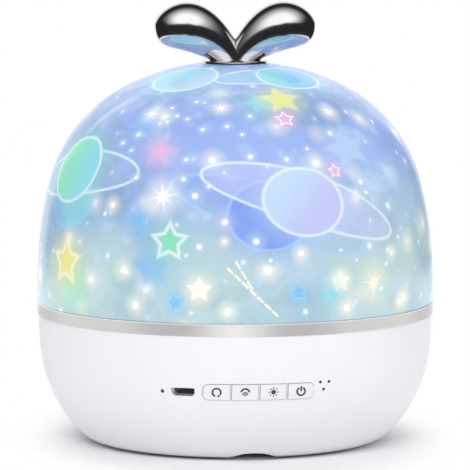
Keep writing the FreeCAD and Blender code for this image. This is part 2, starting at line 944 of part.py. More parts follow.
def lamp_post():
    flange_floor = deck_floor - post_flange_thickness
    post = cylinder(post_radius, flange_floor, lamp_height)
    post = post.fuse(cylinder(post_flange_radius, flange_floor, deck_floor))
    cuts = [cylinder(post_bore, flange_floor, lamp_height)]
    for centre in post_screw_centres():
        cuts.append(pilot_hole(centre, flange_floor, deck_floor))
    return post.cut(cuts).removeSplitter()


def lamp_screws():
    # They come up from below, because the turntable's hub covers the deck here
    seat = deck_floor - post_flange_thickness
    length = post_flange_thickness + deck_thickness
    return Part.Compound([placed_screw(c, seat, False, length) for c in post_screw_centres()])


def led_board():
    return cylinder(led_board_radius, lamp_height, lamp_floor)


def led_chips():
    chips = []
    for x in (-led_pitch / 2, led_pitch / 2):
        for y in (-led_pitch / 2, led_pitch / 2):
            low = (x - led_size / 2, y - led_size / 2, lamp_floor)
            package = block(low, (x + led_size / 2, y + led_size / 2, lamp_floor + led_height))
            centre = vec(x, y, 0)
            well = cylinder(led_well_radius, lamp_floor + led_height / 2, lamp_floor + led_height, centre)
            chips.append(package.cut(well))
    return Part.Compound(chips)


def lens_holder():
    outer = lens_radius + running_gap + lens_cup_wall
    seat = lamp_floor + lens_cup_height
    cup = tube(outer, lens_radius - lens_cup_wall, lamp_floor, seat)
    collar = tube(outer, lens_radius + running_gap, seat, seat + lens_edge)
    skirt = tube(outer, led_board_radius + running_gap, lamp_height, lamp_floor)
    return join([cup, collar, skirt])


def lamp_lens():
    # A flat disc under a domed crown
    seat = lamp_floor + lens_cup_height
    edge_top = seat + lens_edge
    ball = (lens_radius ** 2 + lens_crown ** 2) / (2 * lens_crown)
    centre = (0.0, edge_top + lens_crown - ball)
    start = math.asin((edge_top - centre[1]) / ball)
    edges = [
        section_line((0.0, seat), (lens_radius, seat)),
        section_line((lens_radius, seat), (lens_radius, edge_top)),
        section_arc(centre, ball, start, math.pi / 2),
        section_line((0.0, edge_top + lens_crown), (0.0, seat)),
    ]
    return revolved(edges)


# Electronics

def main_board():
    board = cylinder(board_radius, board_floor, board_top)
    keep = block((-board_half_width, -base_radius, board_floor), (board_half_width, board_back, board_top))
    board = board.common(keep)
    for centre in board_post_centres():
        board = board.cut(pilot_hole(centre, board_floor, board_top))
    return board


def board_screws():
    return Part.Compound([placed_screw(c, board_top) for c in board_post_centres()])


def chip(x, y, size):
    low = (x - size[0] / 2, y - size[1] / 2, board_top)
    return block(low, (low[0] + size[0], low[1] + size[1], board_top + size[2]))


def board_parts():
    # Controller, charger, coil and capacitors, each on the board's top
    parts = [chip(0, chip_row, controller_size), chip(charger_place, chip_row, charger_size)]
    parts.append(cylinder(coil_radius, board_top, board_top + coil_height, vec(coil_place, coil_row, 0)))
    for x in capacitor_places:
        parts.append(cylinder(capacitor_radius, board_top, board_top + capacitor_height, vec(x, coil_row, 0)))
    return Part.Compound(parts)


def usb_socket():
    outer = usb_front()
    shell = usb_prism(-seat_gap / 2, outer, outer - usb_depth)
    hollow = usb_prism(-seat_gap / 2 - usb_shell, outer, outer - usb_depth + usb_shell)
    return turned(shell.cut(hollow), usb_angle)


def usb_tongue():
    outer = usb_front()
    high = socket_centre + tongue_thickness / 2
    low = high - tongue_thickness
    back = -outer + usb_depth - usb_shell
    tongue = block((-tongue_width / 2, -outer + tongue_recess, low), (tongue_width / 2, back, high))
    return turned(tongue, usb_angle)


def charge_front():
    return board_radius - charge_lamp_depth


def charge_light():
    half = charge_lamp_size / 2
    start = -charge_front()
    lamp = block((-half, start, board_top), (half, start + charge_lamp_depth, board_top + 2 * usb_lift))
    return turned(lamp, light_angle)


def light_pipe():
    outer = base_wall_radius(socket_centre) - light_recess
    return radial_hole(light_radius - running_gap, light_angle, socket_centre, outer, charge_front())


def sounder():
    outer = usb_front() - loose_gap
    half = sounder_width / 2
    case = block((-half, -outer, board_top), (half, -outer + sounder_depth, board_top + sounder_height))
    port = Part.makeCylinder(half / 2, sounder_depth / 2, vec(0, -outer, board_top + sounder_height / 2),
                             vec(0, 1, 0))
    return turned(case.cut(port), sounder_angle)


# Cell, holder and contacts

def holder_half_length():
    return cell_length / 2 + contact_gap + holder_wall


def holder_half_width():
    return cell_radius + seat_gap + holder_wall


def battery_holder():
    half_x = holder_half_length()
    half_y = holder_half_width()
    tray = block((-half_x, -half_y, cover_top), (half_x, half_y, cover_top + holder_height))
    inner_x = half_x - holder_wall
    trough = Part.makeCylinder(cell_radius + seat_gap, 2 * inner_x, vec(-inner_x, 0, cell_centre), vec(1, 0, 0))
    return tray.cut(trough)


def battery_cell():
    can = Part.makeCylinder(cell_radius, cell_length, vec(-cell_length / 2, 0, cell_centre), vec(1, 0, 0))
    return can.makeFillet(contact_gap, [edge for edge in can.Edges if edge.Curve.TypeId.endswith("Circle")])


def battery_contacts():
    inner_x = holder_half_length() - holder_wall
    face = inner_x - contact_thickness
    contacts = []
    for side in (-1, 1):
        low_x, high_x = sorted((side * face, side * inner_x))
        plate = block((low_x, -contact_dimple_radius, cell_centre - contact_dimple_radius),
                      (high_x, contact_dimple_radius, cell_centre + cell_radius))
        dimple = Part.makeCylinder(contact_dimple_radius, face - cell_length / 2,
                                   vec(side * cell_length / 2, 0, cell_centre), vec(side, 0, 0))
        contacts.append(plate.fuse(dimple).removeSplitter())
    return Part.Compound(contacts)


# Leads run in straight stretches joined by arcs

def lead(points):
    edges = []
    start = points[0]
    for before, corner, after in zip(points, points[1:], points[2:]):
        inward = (before - corner).normalize()
        outward = (after - corner).normalize()
        angle = inward.getAngle(outward)
        reach = lead_bend / math.tan(angle / 2)
        first = corner + inward * reach
        last = corner + outward * reach
        bisector = (inward + outward).normalize()
        middle = corner + bisector * (lead_bend / math.sin(angle / 2) - lead_bend)
        edges.append(Part.makeLine(start, first))
        edges.append(Part.Arc(first, middle, last).toShape())
        start = last
    edges.append(Part.makeLine(start, points[-1]))
    path = Part.Wire(edges)
    section = Part.Circle(points[0], (points[1] - points[0]).normalize(), lead_radius)
    return path.makePipeShell([Part.Wire(section.toShape())], True, False)


def lead_pair(points, spread):
    # Two leads side by side, moved apart along the spread
    return Part.Compound([lead([point + spread * side for point in points]) for side in (-0.5, 0.5)])


def lamp_leads():
    turn_height = cell_centre + cell_radius + 3 * lead_bend
    landing = board_back - lead_bend
    points = [vec(0, 0, lamp_height), vec(0, 0, turn_height), vec(0, landing, turn_height), vec(0, landing, board_top)]
    return lead_pair(points, vec(lead_spacing, 0, 0))


def motor_leads():
    height = deck_floor - motor_length * motor_lead_share
    landing = board_back - lead_bend
    x = motor_centre.x
    points = [vec(x, motor_centre.y - motor_radius, height), vec(x, landing, height), vec(x, landing, board_top)]
    return lead_pair(points, vec(lead_spacing, 0, 0))


def battery_leads():
    height = cell_centre + cell_radius + 2 * lead_bend
    landing = board_back - lead_bend
    start_x = holder_half_length() - holder_wall - contact_thickness / 2
    top = cell_centre + cell_radius
    leads = []
    for side in (-1, 1):
        x = side * start_x
        end_x = side * (board_half_width - 2 * lead_bend)
        points = [vec(x, 0, top), vec(x, 0, height), vec(end_x, landing, height), vec(end_x, landing, board_top)]
        leads.append(lead(points))
    return Part.Compound(leads)


builders = {
    "base_shell": base_shell,
    "bottom_cover": bottom_cover,
    "cover_screws": cover_screws,
    "rubber_feet": rubber_feet,
    "trim_ring": trim_ring,
    "deck_plate": deck_plate,
    "deck_screws": deck_screws,
    "outer_dome": outer_dome,
    "sprout_base": sprout_base,
    "left_leaf": left_leaf,
    "right_leaf": right_leaf,
    "sprout_screw": sprout_screw,
    "sprout_washer": sprout_washer,
    "turntable": turntable,
    "film_dome": film_dome,
    "star_film": star_film,
    "idler_gear": idler_gear,
    "idler_pin": idler_pin,
    "drive_motor": drive_motor,
    "motor_screws": motor_screws,
    "motor_shaft": motor_shaft,
    "motor_pinion": motor_pinion,
    "lamp_post": lamp_post,
    "lamp_screws": lamp_screws,
    "led_board": led_board,
    "led_chips": led_chips,
    "lens_holder": lens_holder,
    "lamp_lens": lamp_lens,
    "main_board": main_board,
    "board_screws": board_screws,
    "board_parts": board_parts,
    "usb_socket": usb_socket,
    "usb_tongue": usb_tongue,
    "charge_light": charge_light,
    "light_pipe": light_pipe,
    "sounder": sounder,
    "battery_cell": battery_cell,
    "battery_holder": battery_holder,
    "battery_contacts": battery_contacts,
    "battery_leads": battery_leads,
    "motor_leads": motor_leads,
    "lamp_leads": lamp_leads,
}

os.makedirs("parts", exist_ok=True)

pieces = {name: build() for name, build in builders.items()}
pieces["key_switches"] = Part.Compound([switch_housing(index) for index in range(key_count)])
for index, name in enumerate(key_names):
    pieces[name + "_button"] = key_button(index)
    pieces[name + "_plunger"] = switch_plunger(index)

for name, shape in pieces.items():
    box = shape.BoundBox
    print(name, len(shape.Solids), shape.isValid(), round(shape.Volume, 1), "z", round(box.ZMin, 2), round(box.ZMax, 2))
    shape.exportStep("parts/" + name + ".step")
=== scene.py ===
import bpy
import bmesh
import math
from mathutils import Matrix, Vector


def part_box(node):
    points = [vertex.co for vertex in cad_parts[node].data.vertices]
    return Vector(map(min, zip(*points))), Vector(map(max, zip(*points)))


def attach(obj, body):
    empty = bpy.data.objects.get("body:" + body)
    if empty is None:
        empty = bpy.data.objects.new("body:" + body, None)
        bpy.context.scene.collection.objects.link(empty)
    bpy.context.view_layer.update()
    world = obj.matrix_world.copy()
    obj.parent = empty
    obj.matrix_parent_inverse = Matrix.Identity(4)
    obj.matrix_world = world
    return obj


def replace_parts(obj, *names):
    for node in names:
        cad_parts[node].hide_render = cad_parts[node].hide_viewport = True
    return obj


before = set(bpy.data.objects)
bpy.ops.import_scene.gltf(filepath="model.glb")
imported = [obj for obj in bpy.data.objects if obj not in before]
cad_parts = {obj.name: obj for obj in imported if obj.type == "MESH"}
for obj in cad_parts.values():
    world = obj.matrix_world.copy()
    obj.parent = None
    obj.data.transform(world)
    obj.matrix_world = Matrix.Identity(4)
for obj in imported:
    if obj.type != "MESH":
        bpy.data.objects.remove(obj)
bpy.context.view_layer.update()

mm = 0.001
print("frame loaded with", len(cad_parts), "nodes")


# Small helpers for shader trees

def ink(red, green, blue):  # an ordinary screen colour, as Blender's linear one
    parts = []
    for part in (red, green, blue):
        share = part / 255
        parts.append(share / 12.92 if share < 0.04045 else ((share + 0.055) / 1.055) ** 2.4)
    return (*parts, 1.0)


white = ink(255, 255, 255)


def addNode(tree, kind):
    node = tree.nodes.new(kind)
    count = len(tree.nodes)
    node.location = (220 * (count % 14), -240 * (count // 14))
    return node


def feed(tree, socket, value):  # a value is another node's output or a plain number or colour
    if isinstance(value, bpy.types.NodeSocket):
        tree.links.new(value, socket)
    else:
        socket.default_value = value


def maths(tree, operation, *values, clamp=False):
    node = addNode(tree, "ShaderNodeMath")
    node.operation = operation
    node.use_clamp = clamp
    for socket, value in zip(node.inputs, values):
        feed(tree, socket, value)
    return node.outputs[0]


def vectorMaths(tree, operation, *values):
    node = addNode(tree, "ShaderNodeVectorMath")
    node.operation = operation
    for socket, value in zip(node.inputs, values):
        feed(tree, socket, value)
    return node.outputs["Value" if operation in ("LENGTH", "DOT_PRODUCT", "DISTANCE") else "Vector"]


def blendColour(tree, share, under, over, mode="MIX"):
    node = addNode(tree, "ShaderNodeMix")
    node.data_type = "RGBA"
    node.blend_type = mode
    node.clamp_factor = True
    feed(tree, node.inputs[0], share)
    feed(tree, node.inputs[6], under)
    feed(tree, node.inputs[7], over)
    return node.outputs[2]


def ease(tree, value, start, end):  # 0 at start, 1 at end, smooth between
    node = addNode(tree, "ShaderNodeMapRange")
    node.interpolation_type = "SMOOTHSTEP"
    feed(tree, node.inputs[0], value)
    feed(tree, node.inputs[1], start)
    feed(tree, node.inputs[2], end)
    return node.outputs[0]


def spread(tree, value, low, high):  # a 0 to 1 value carried to a range of its own
    node = addNode(tree, "ShaderNodeMapRange")
    feed(tree, node.inputs[0], value)
    node.inputs[3].default_value = low
    node.inputs[4].default_value = high
    return node.outputs[0]


def noise(tree, point, scale, detail=2.0, roughness=0.5, distortion=0.0):
    node = addNode(tree, "ShaderNodeTexNoise")
    feed(tree, node.inputs["Vector"], point)
    feed(tree, node.inputs["Scale"], scale)
    node.inputs["Detail"].default_value = detail
    node.inputs["Roughness"].default_value = roughness
    node.inputs["Distortion"].default_value = distortion
    return node.outputs[0]


def apart(tree, vector):
    node = addNode(tree, "ShaderNodeSeparateXYZ")
    feed(tree, node.inputs[0], vector)
    return node.outputs


def together(tree, x, y, z):
    node = addNode(tree, "ShaderNodeCombineXYZ")
    for socket, value in zip(node.inputs, (x, y, z)):
        feed(tree, socket, value)
    return node.outputs[0]


def objectPoint(tree):
    return addNode(tree, "ShaderNodeTexCoord").outputs["Object"]


socketKinds = {"float": "NodeSocketFloat", "vector": "NodeSocketVector", "colour": "NodeSocketColor"}


def openGroup(name, wanted, given):  # a node group with named inputs and outputs
    tree = bpy.data.node_groups.new(name, "ShaderNodeTree")
    for label, (kind, start) in wanted.items():
        socket = tree.interface.new_socket(name=label, in_out="INPUT", socket_type=socketKinds[kind])
        if start is not None:
            socket.default_value = start
    for label, kind in given.items():
        tree.interface.new_socket(name=label, in_out="OUTPUT", socket_type=socketKinds[kind])
    return tree, addNode(tree, "NodeGroupInput").outputs, addNode(tree, "NodeGroupOutput").inputs


def useGroup(tree, group, **values):
    node = addNode(tree, "ShaderNodeGroup")
    node.node_tree = group
    for label, value in values.items():
        feed(tree, node.inputs[label], value)
    return node.outputs


def openMaterial(name):
    material = bpy.data.materials.new(name)
    material.use_nodes = True
    tree = material.node_tree
    return material, tree, tree.nodes["Principled BSDF"]


def setShader(shader, **values):  # names with underscores stand for labels with spaces
    for label, value in values.items():
        shader.inputs[label.replace("_", " ")].default_value = value


def addBump(tree, shader, height, strength, distance):
    node = addNode(tree, "ShaderNodeBump")
    feed(tree, node.inputs["Height"], height)
    node.inputs["Strength"].default_value = strength
    node.inputs["Distance"].default_value = distance
    tree.links.new(node.outputs[0], shader.inputs["Normal"])


def giveRoughness(tree, shader, tone, low, high):
    tree.links.new(spread(tree, tone, low, high), shader.inputs["Roughness"])


# Effects that several finishes share

def buildSurfaceGrain():  # slow mottling and fine grain of a moulded or rubbed surface
    tree, given, made = openGroup("surfaceGrain", {
        "Point": ("vector", None), "Broad": ("float", 60.0), "Fine": ("float", 2500.0),
    }, {"Tone": "float", "Height": "float"})
    tree.links.new(noise(tree, given["Point"], given["Broad"], 3.0, 0.55), made["Tone"])
    tree.links.new(noise(tree, given["Point"], given["Fine"], 2.0, 0.6), made["Height"])
    return tree


def buildBrushLines():  # fine lines that run round the lamp's axis
    tree, given, made = openGroup("brushLines", {
        "Point": ("vector", None), "Fineness": ("float", 9000.0),
    }, {"Tone": "float", "Height": "float"})
    x, y, z = apart(tree, given["Point"])[0:3]
    stretched = together(tree, maths(tree, "MULTIPLY", x, 0.01), maths(tree, "MULTIPLY", y, 0.01), z)
    tree.links.new(noise(tree, given["Point"], 45.0, 2.0), made["Tone"])
    tree.links.new(noise(tree, stretched, given["Fineness"], 3.0, 0.7), made["Height"])
    return tree


def buildSettledDust():  # a little dust where a surface faces up
    tree, given, made = openGroup("settledDust", {
        "Point": ("vector", None), "Normal": ("vector", None), "Amount": ("float", 0.3),
    }, {"Mask": "float"})
    up = ease(tree, apart(tree, given["Normal"])[2], 0.55, 1.0)
    patch = ease(tree, noise(tree, given["Point"], 420.0, 4.0, 0.65), 0.42, 0.75)
    dusty = maths(tree, "MULTIPLY", up, patch)
    tree.links.new(maths(tree, "MULTIPLY", dusty, given["Amount"]), made["Mask"])
    return tree


surfaceGrain = buildSurfaceGrain()
brushLines = buildBrushLines()
settledDust = buildSettledDust()


# The printed night sky: each group lays one figure over the colour that comes in. Place is the
# figure's middle, and Right, Inward and Up are its own axes, each divided by its size.

def openFigure(name, wanted):
    tree, given, made = openGroup(name, {
        "Under": ("colour", None), "Point": ("vector", None), "Place": ("vector", None),
        "Right": ("vector", None), "Inward": ("vector", None), "Up": ("vector", None), **wanted,
    }, {"Colour": "colour"})
    away = vectorMaths(tree, "SUBTRACT", given["Point"], given["Place"])
    x = vectorMaths(tree, "DOT_PRODUCT", away, given["Right"])
    z = vectorMaths(tree, "DOT_PRODUCT", away, given["Up"])
    depth = vectorMaths(tree, "DOT_PRODUCT", away, given["Inward"])
    near = maths(tree, "LESS_THAN", maths(tree, "ABSOLUTE", depth), 1.0)  # 0 on the far side of the dome
    return tree, given, made, x, z, near


def flatReach(tree, x, z):  # distance from the figure's middle, in its own half sizes
    return maths(tree, "SQRT", maths(tree, "MULTIPLY_ADD", x, x, maths(tree, "MULTIPLY", z, z)))


def product(tree, first, second, third):
    return maths(tree, "MULTIPLY", first, maths(tree, "MULTIPLY", second, third))


haloReach = {"star": 2.1, "planet": 1.6, "sparkle": 1.25, "dot": 3.8, "scatter": 3.0}  # in half sizes
starForm = {"points": 5, "inner": 0.53}


def buildPrintStar():  # a star with a soft outline; across is the normal of one of its edges
    half = math.pi / starForm["points"]
    corner = (starForm["inner"] * math.cos(half), starForm["inner"] * math.sin(half))
    side = math.hypot(corner[0] - 1, corner[1])
    across = (corner[1] / side, (1 - corner[0]) / side)
    tree, given, made, x, z, near = openFigure("printStar", {
        "Fill": ("colour", None), "Line": ("colour", None), "Cover": ("float", 0.9),
        "Edge": ("float", 0.8), "Width": ("float", 0.17), "Blur": ("float", 0.2), "Halo": ("float", 0.45),
    })
    reach = flatReach(tree, x, z)
    folded = maths(tree, "PINGPONG", maths(tree, "ARCTAN2", x, z), half)
    ahead = maths(tree, "SUBTRACT", maths(tree, "MULTIPLY", reach, maths(tree, "COSINE", folded)), 1.0)
    beside = maths(tree, "MULTIPLY", reach, maths(tree, "SINE", folded))
    ahead = maths(tree, "MULTIPLY", ahead, across[0])
    beside = maths(tree, "MULTIPLY", beside, across[1])
    distance = maths(tree, "ADD", ahead, beside)
    halo = product(tree, ease(tree, reach, haloReach["star"], 0.3), given["Halo"], near)
    blur = maths(tree, "MULTIPLY", given["Blur"], -1.0)
    fill = product(tree, ease(tree, distance, given["Blur"], blur), given["Cover"], near)
    edge = ease(tree, maths(tree, "ABSOLUTE", distance), given["Width"], 0.0)
    line = product(tree, edge, given["Edge"], near)
    colour = blendColour(tree, halo, given["Under"], given["Fill"])
    colour = blendColour(tree, fill, colour, given["Fill"])
    tree.links.new(blendColour(tree, line, colour, given["Line"]), made["Colour"])
    return tree


def buildPrintPlanet():  # a disc that shades from one ink to another, with an outline
    tree, given, made, x, z, near = openFigure("printPlanet", {
        "Wisp": ("float", 0.5), "Fill": ("colour", None), "Shade": ("colour", None),
        "Line": ("colour", None), "Cover": ("float", 0.8), "Edge": ("float", 0.9),
        "Width": ("float", 0.08), "Halo": ("float", 0.35),
    })
    reach = flatReach(tree, x, z)
    halo = product(tree, ease(tree, reach, haloReach["planet"], 0.9), given["Halo"], near)
    fill = product(tree, ease(tree, reach, 1.02, 0.97), given["Cover"], near)
    away = maths(tree, "ABSOLUTE", maths(tree, "SUBTRACT", reach, 1.0))
    line = product(tree, ease(tree, away, given["Width"], 0.0), given["Edge"], near)
    lean = maths(tree, "SUBTRACT", x, maths(tree, "MULTIPLY", z, 0.4))
    shade = ease(tree, maths(tree, "ADD", lean, given["Wisp"]), -0.2, 1.2)
    colour = blendColour(tree, halo, given["Under"], given["Fill"])
    body = blendColour(tree, shade, given["Fill"], given["Shade"])
    colour = blendColour(tree, fill, colour, body)
    tree.links.new(blendColour(tree, line, colour, given["Line"]), made["Colour"])
    return tree


def buildPrintRing():  # an ellipse of even line width; Long and Short are its half axes in millimetres
    tree, given, made, x, z, near = openFigure("printRing", {
        "Line": ("colour", None), "Fill": ("colour", None), "Long": ("float", 30.0),
        "Short": ("float", 8.0), "Width": ("float", 0.85), "Edge": ("float", 0.9), "Cover": ("float", 0.25),
    })
    reach = flatReach(tree, x, z)
    across = maths(tree, "DIVIDE", x, given["Long"])
    slope = flatReach(tree, across, maths(tree, "DIVIDE", z, given["Short"]))
    away = maths(tree, "MULTIPLY", maths(tree, "ABSOLUTE", maths(tree, "SUBTRACT", reach, 1.0)), reach)
    away = maths(tree, "DIVIDE", away, slope)
    line = product(tree, ease(tree, away, given["Width"], 0.0), given["Edge"], near)
    fill = product(tree, ease(tree, reach, 1.0, 0.9), given["Cover"], near)
    colour = blendColour(tree, fill, given["Under"], given["Fill"])
    tree.links.new(blendColour(tree, line, colour, given["Line"]), made["Colour"])
    return tree


sparkleForm = {"straight": 34.0, "slanted": 26.0}  # how thin its rays are


def buildPrintSparkle():  # eight thin rays and a soft core
    tree, given, made, x, z, near = openFigure("printSparkle", {
        "Fill": ("colour", None), "Cover": ("float", 1.0), "Halo": ("float", 0.35),
    })
    reach = flatReach(tree, x, z)
    rays = []
    axes = {"straight": (x, z), "slanted": (maths(tree, "ADD", x, z), maths(tree, "SUBTRACT", x, z))}
    for direction, (along, beside) in axes.items():
        cross = maths(tree, "ABSOLUTE", maths(tree, "MULTIPLY", along, beside))
        away = maths(tree, "MULTIPLY_ADD", cross, sparkleForm[direction], reach)
        rays.append(ease(tree, away, 1.05, 0.3))
    ray = product(tree, maths(tree, "MAXIMUM", *rays), given["Cover"], near)
    halo = product(tree, ease(tree, reach, haloReach["sparkle"], 0.0), given["Halo"], near)
    colour = blendColour(tree, halo, given["Under"], given["Fill"])
    tree.links.new(blendColour(tree, ray, colour, given["Fill"]), made["Colour"])
    return tree


def buildPrintDot():  # Reach is the distance to the nearest dot, divided by the dot's size
    tree, given, made = openGroup("printDot", {
        "Under": ("colour", None), "Reach": ("float", 9.0), "Fill": ("colour", None),
        "Core": ("float", 0.95), "Halo": ("float", 0.55),
    }, {"Colour": "colour"})
    halo = maths(tree, "MULTIPLY", ease(tree, given["Reach"], haloReach["dot"], 0.3), given["Halo"])
    core = maths(tree, "MULTIPLY", ease(tree, given["Reach"], 1.25, 0.3), given["Core"])
    colour = blendColour(tree, halo, given["Under"], given["Fill"])
    tree.links.new(blendColour(tree, core, colour, white), made["Colour"])
    return tree


def buildPrintDashes():  # a dashed streak along X, from -1 to 1
    tree, given, made, x, z, near = openFigure("printDashes", {
        "Fill": ("colour", None), "Dashes": ("float", 2.5),
    })
    inside = ease(tree, maths(tree, "ABSOLUTE", x), 1.02, 0.98)
    wave = maths(tree, "FRACT", maths(tree, "MULTIPLY", maths(tree, "ADD", x, 1.0), given["Dashes"]))
    dash = ease(tree, maths(tree, "ABSOLUTE", maths(tree, "SUBTRACT", wave, 0.5)), 0.46, 0.38)
    line = ease(tree, maths(tree, "ABSOLUTE", z), 1.0, 0.4)
    mask = maths(tree, "MULTIPLY", product(tree, inside, dash, line), near)
    tree.links.new(blendColour(tree, mask, given["Under"], given["Fill"]), made["Colour"])
    return tree


def buildPrintScatter():  # small dots strewn by chance, each with its halo
    tree, given, made = openGroup("printScatter", {
        "Under": ("colour", None), "Point": ("vector", None), "Fill": ("colour", None),
        "Scale": ("float", 120.0), "Size": ("float", 0.12), "Share": ("float", 0.5), "Halo": ("float", 0.3),
    }, {"Colour": "colour"})
    cells = addNode(tree, "ShaderNodeTexVoronoi")
    feed(tree, cells.inputs["Vector"], given["Point"])
    feed(tree, cells.inputs["Scale"], given["Scale"])
    away = maths(tree, "DIVIDE", cells.outputs["Distance"], given["Size"])
    kept = maths(tree, "LESS_THAN", apart(tree, cells.outputs["Color"])[0], given["Share"])
    halo = product(tree, ease(tree, away, haloReach["scatter"], 0.1), given["Halo"], kept)
    core = maths(tree, "MULTIPLY", ease(tree, away, 1.15, 0.3), kept)
    colour = blendColour(tree, halo, given["Under"], given["Fill"])
    tree.links.new(blendColour(tree, core, colour, white), made["Colour"])
    return tree


skyForm = {
    "sway": 1.1, "coarser": 1.37, "finer": 2.3, "darkFrom": 0.46, "darkTo": 0.68,
    "lightFrom": 0.5, "lightTo": 0.78, "lightShare": 0.85,
}


def buildPrintSky():  # drifting clouds over a sky that turns from Teal at Low to Violet at High
    tree, given, made = openGroup("printSky", {
        "Point": ("vector", None), "Deep": ("colour", None), "Teal": ("colour", None),
        "Pale": ("colour", None), "Violet": ("colour", None), "Low": ("float", 0.05),
        "High": ("float", 0.1), "Scale": ("float", 22.0),
    }, {"Colour": "colour", "Wisp": "float"})
    height = vectorMaths(tree, "DOT_PRODUCT", given["Point"], (0.0, 0.0, 1.0))
    rise = ease(tree, height, given["Low"], given["High"])
    wisp = noise(tree, given["Point"], given["Scale"], 2.0)
    sway = maths(tree, "MULTIPLY", maths(tree, "SUBTRACT", wisp, 0.5), skyForm["sway"])
    rise = maths(tree, "ADD", rise, sway, clamp=True)
    broad = blendColour(tree, rise, given["Teal"], given["Violet"])
    coarser = maths(tree, "MULTIPLY", given["Scale"], skyForm["coarser"])
    clouds = noise(tree, given["Point"], coarser, 4.0, 0.6, 0.4)
    dark = ease(tree, clouds, skyForm["darkFrom"], skyForm["darkTo"])
    dark = maths(tree, "MULTIPLY", dark, spread(tree, rise, 0.4, 0.9))
    colour = blendColour(tree, dark, broad, given["Deep"])
    finer = maths(tree, "MULTIPLY", given["Scale"], skyForm["finer"])
    clouds = noise(tree, given["Point"], finer, 4.0, 0.6, 0.6)
    light = ease(tree, clouds, skyForm["lightFrom"], skyForm["lightTo"])
    light = maths(tree, "MULTIPLY", light, skyForm["lightShare"])
    tree.links.new(blendColour(tree, light, colour, given["Pale"]), made["Colour"])
    tree.links.new(wisp, made["Wisp"])
    return tree


printGroups = {
    "star": buildPrintStar(),
    "planet": buildPrintPlanet(),
    "ring": buildPrintRing(),
    "sparkle": buildPrintSparkle(),
    "dot": buildPrintDot(),
    "dashes": buildPrintDashes(),
    "scatter": buildPrintScatter(),
    "sky": buildPrintSky(),
}
print("node groups built:", len(bpy.data.node_groups))


# Where a figure of the print lies on the dome

domeForm = {
    "radius": 64.9, "waist": 52.9, "top": 124.6, "sideRadius": 128.5, "sideTurn": 14.4,
    "shoulderRadius": 48.9, "figureDepth": 30.0,
}


def domeProfile():  # centre, radius and end angles of the dome's three tangent arcs, in millimetres
    turn = math.radians(domeForm["sideTurn"])
    side = (domeForm["radius"] - domeForm["sideRadius"], domeForm["waist"])
    step = domeForm["sideRadius"] - domeForm["shoulderRadius"]
    shoulder = (side[0] + step * math.cos(turn), side[1] + step * math.sin(turn))
    left = domeForm["top"] - shoulder[1] - domeForm["shoulderRadius"]
    total = math.pi / 2 - 2 * math.atan(left / shoulder[0])
    crownRadius = domeForm["shoulderRadius"] + shoulder[0] / math.cos(total)
    crown = (0.0, domeForm["top"] - crownRadius)
    return [
        (side, domeForm["sideRadius"], 0.0, turn),
        (shoulder, domeForm["shoulderRadius"], turn, total),
        (crown, crownRadius, total, math.pi / 2),
    ]


def domeSpot(height):  # the dome's radius and its slope at a height
    for centre, radius, start, end in domeProfile():
        if height <= centre[1] + radius * math.sin(end):
            slope = math.asin(max(-1.0, (height - centre[1]) / radius))
            return centre[0] + radius * math.cos(slope), max(slope, 0.0)
    return 0.0, math.pi / 2


def figureFrame(angle, height, size, roll=0.0):  # a figure's place and axes on the dome
    radius, slope = domeSpot(height)
    turn = math.radians(angle)
    out = Vector((math.sin(turn) * math.cos(slope), -math.cos(turn) * math.cos(slope), math.sin(slope)))
    right = Vector((math.cos(turn), math.sin(turn), 0.0))
    up = right.cross(-out)
    lean = Matrix.Rotation(math.radians(-roll), 3, -out)
    return {
        "Place": Vector((math.sin(turn) * radius, -math.cos(turn) * radius, height)) * mm,
        "Right": lean @ right / (size[0] * mm),
        "Inward": -out / (domeForm["figureDepth"] * mm),
        "Up": lean @ up / (size[1] * mm),
    }


def foldedPoint(tree, point, frontAngle):  # the print repeats after half a turn
    turn = math.radians(frontAngle)
    ahead = vectorMaths(tree, "DOT_PRODUCT", point, (math.sin(turn), -math.cos(turn), 0.0))
    sign = maths(tree, "MULTIPLY_ADD", maths(tree, "GREATER_THAN", ahead, 0.0), 2.0, -1.0)
    return vectorMaths(tree, "MULTIPLY", point, together(tree, sign, sign, 1.0))


skyInks = {
    "deep": ink(134, 166, 203), "teal": ink(190, 217, 217), "pale": ink(200, 226, 246),
    "violet": ink(156, 180, 238), "cream": ink(255, 250, 230), "blue": ink(134, 194, 242),
    "line": ink(226, 242, 255), "ghostLine": ink(168, 208, 250), "ghost": ink(128, 160, 240),
    "cyan": ink(150, 222, 236), "green": ink(150, 236, 200), "mint": ink(140, 228, 190),
    "yellow": ink(240, 238, 150), "pink": ink(228, 190, 226), "lilac": ink(196, 200, 246),
    "ice": ink(196, 222, 250), "glow": ink(190, 216, 250), "white": white,
}

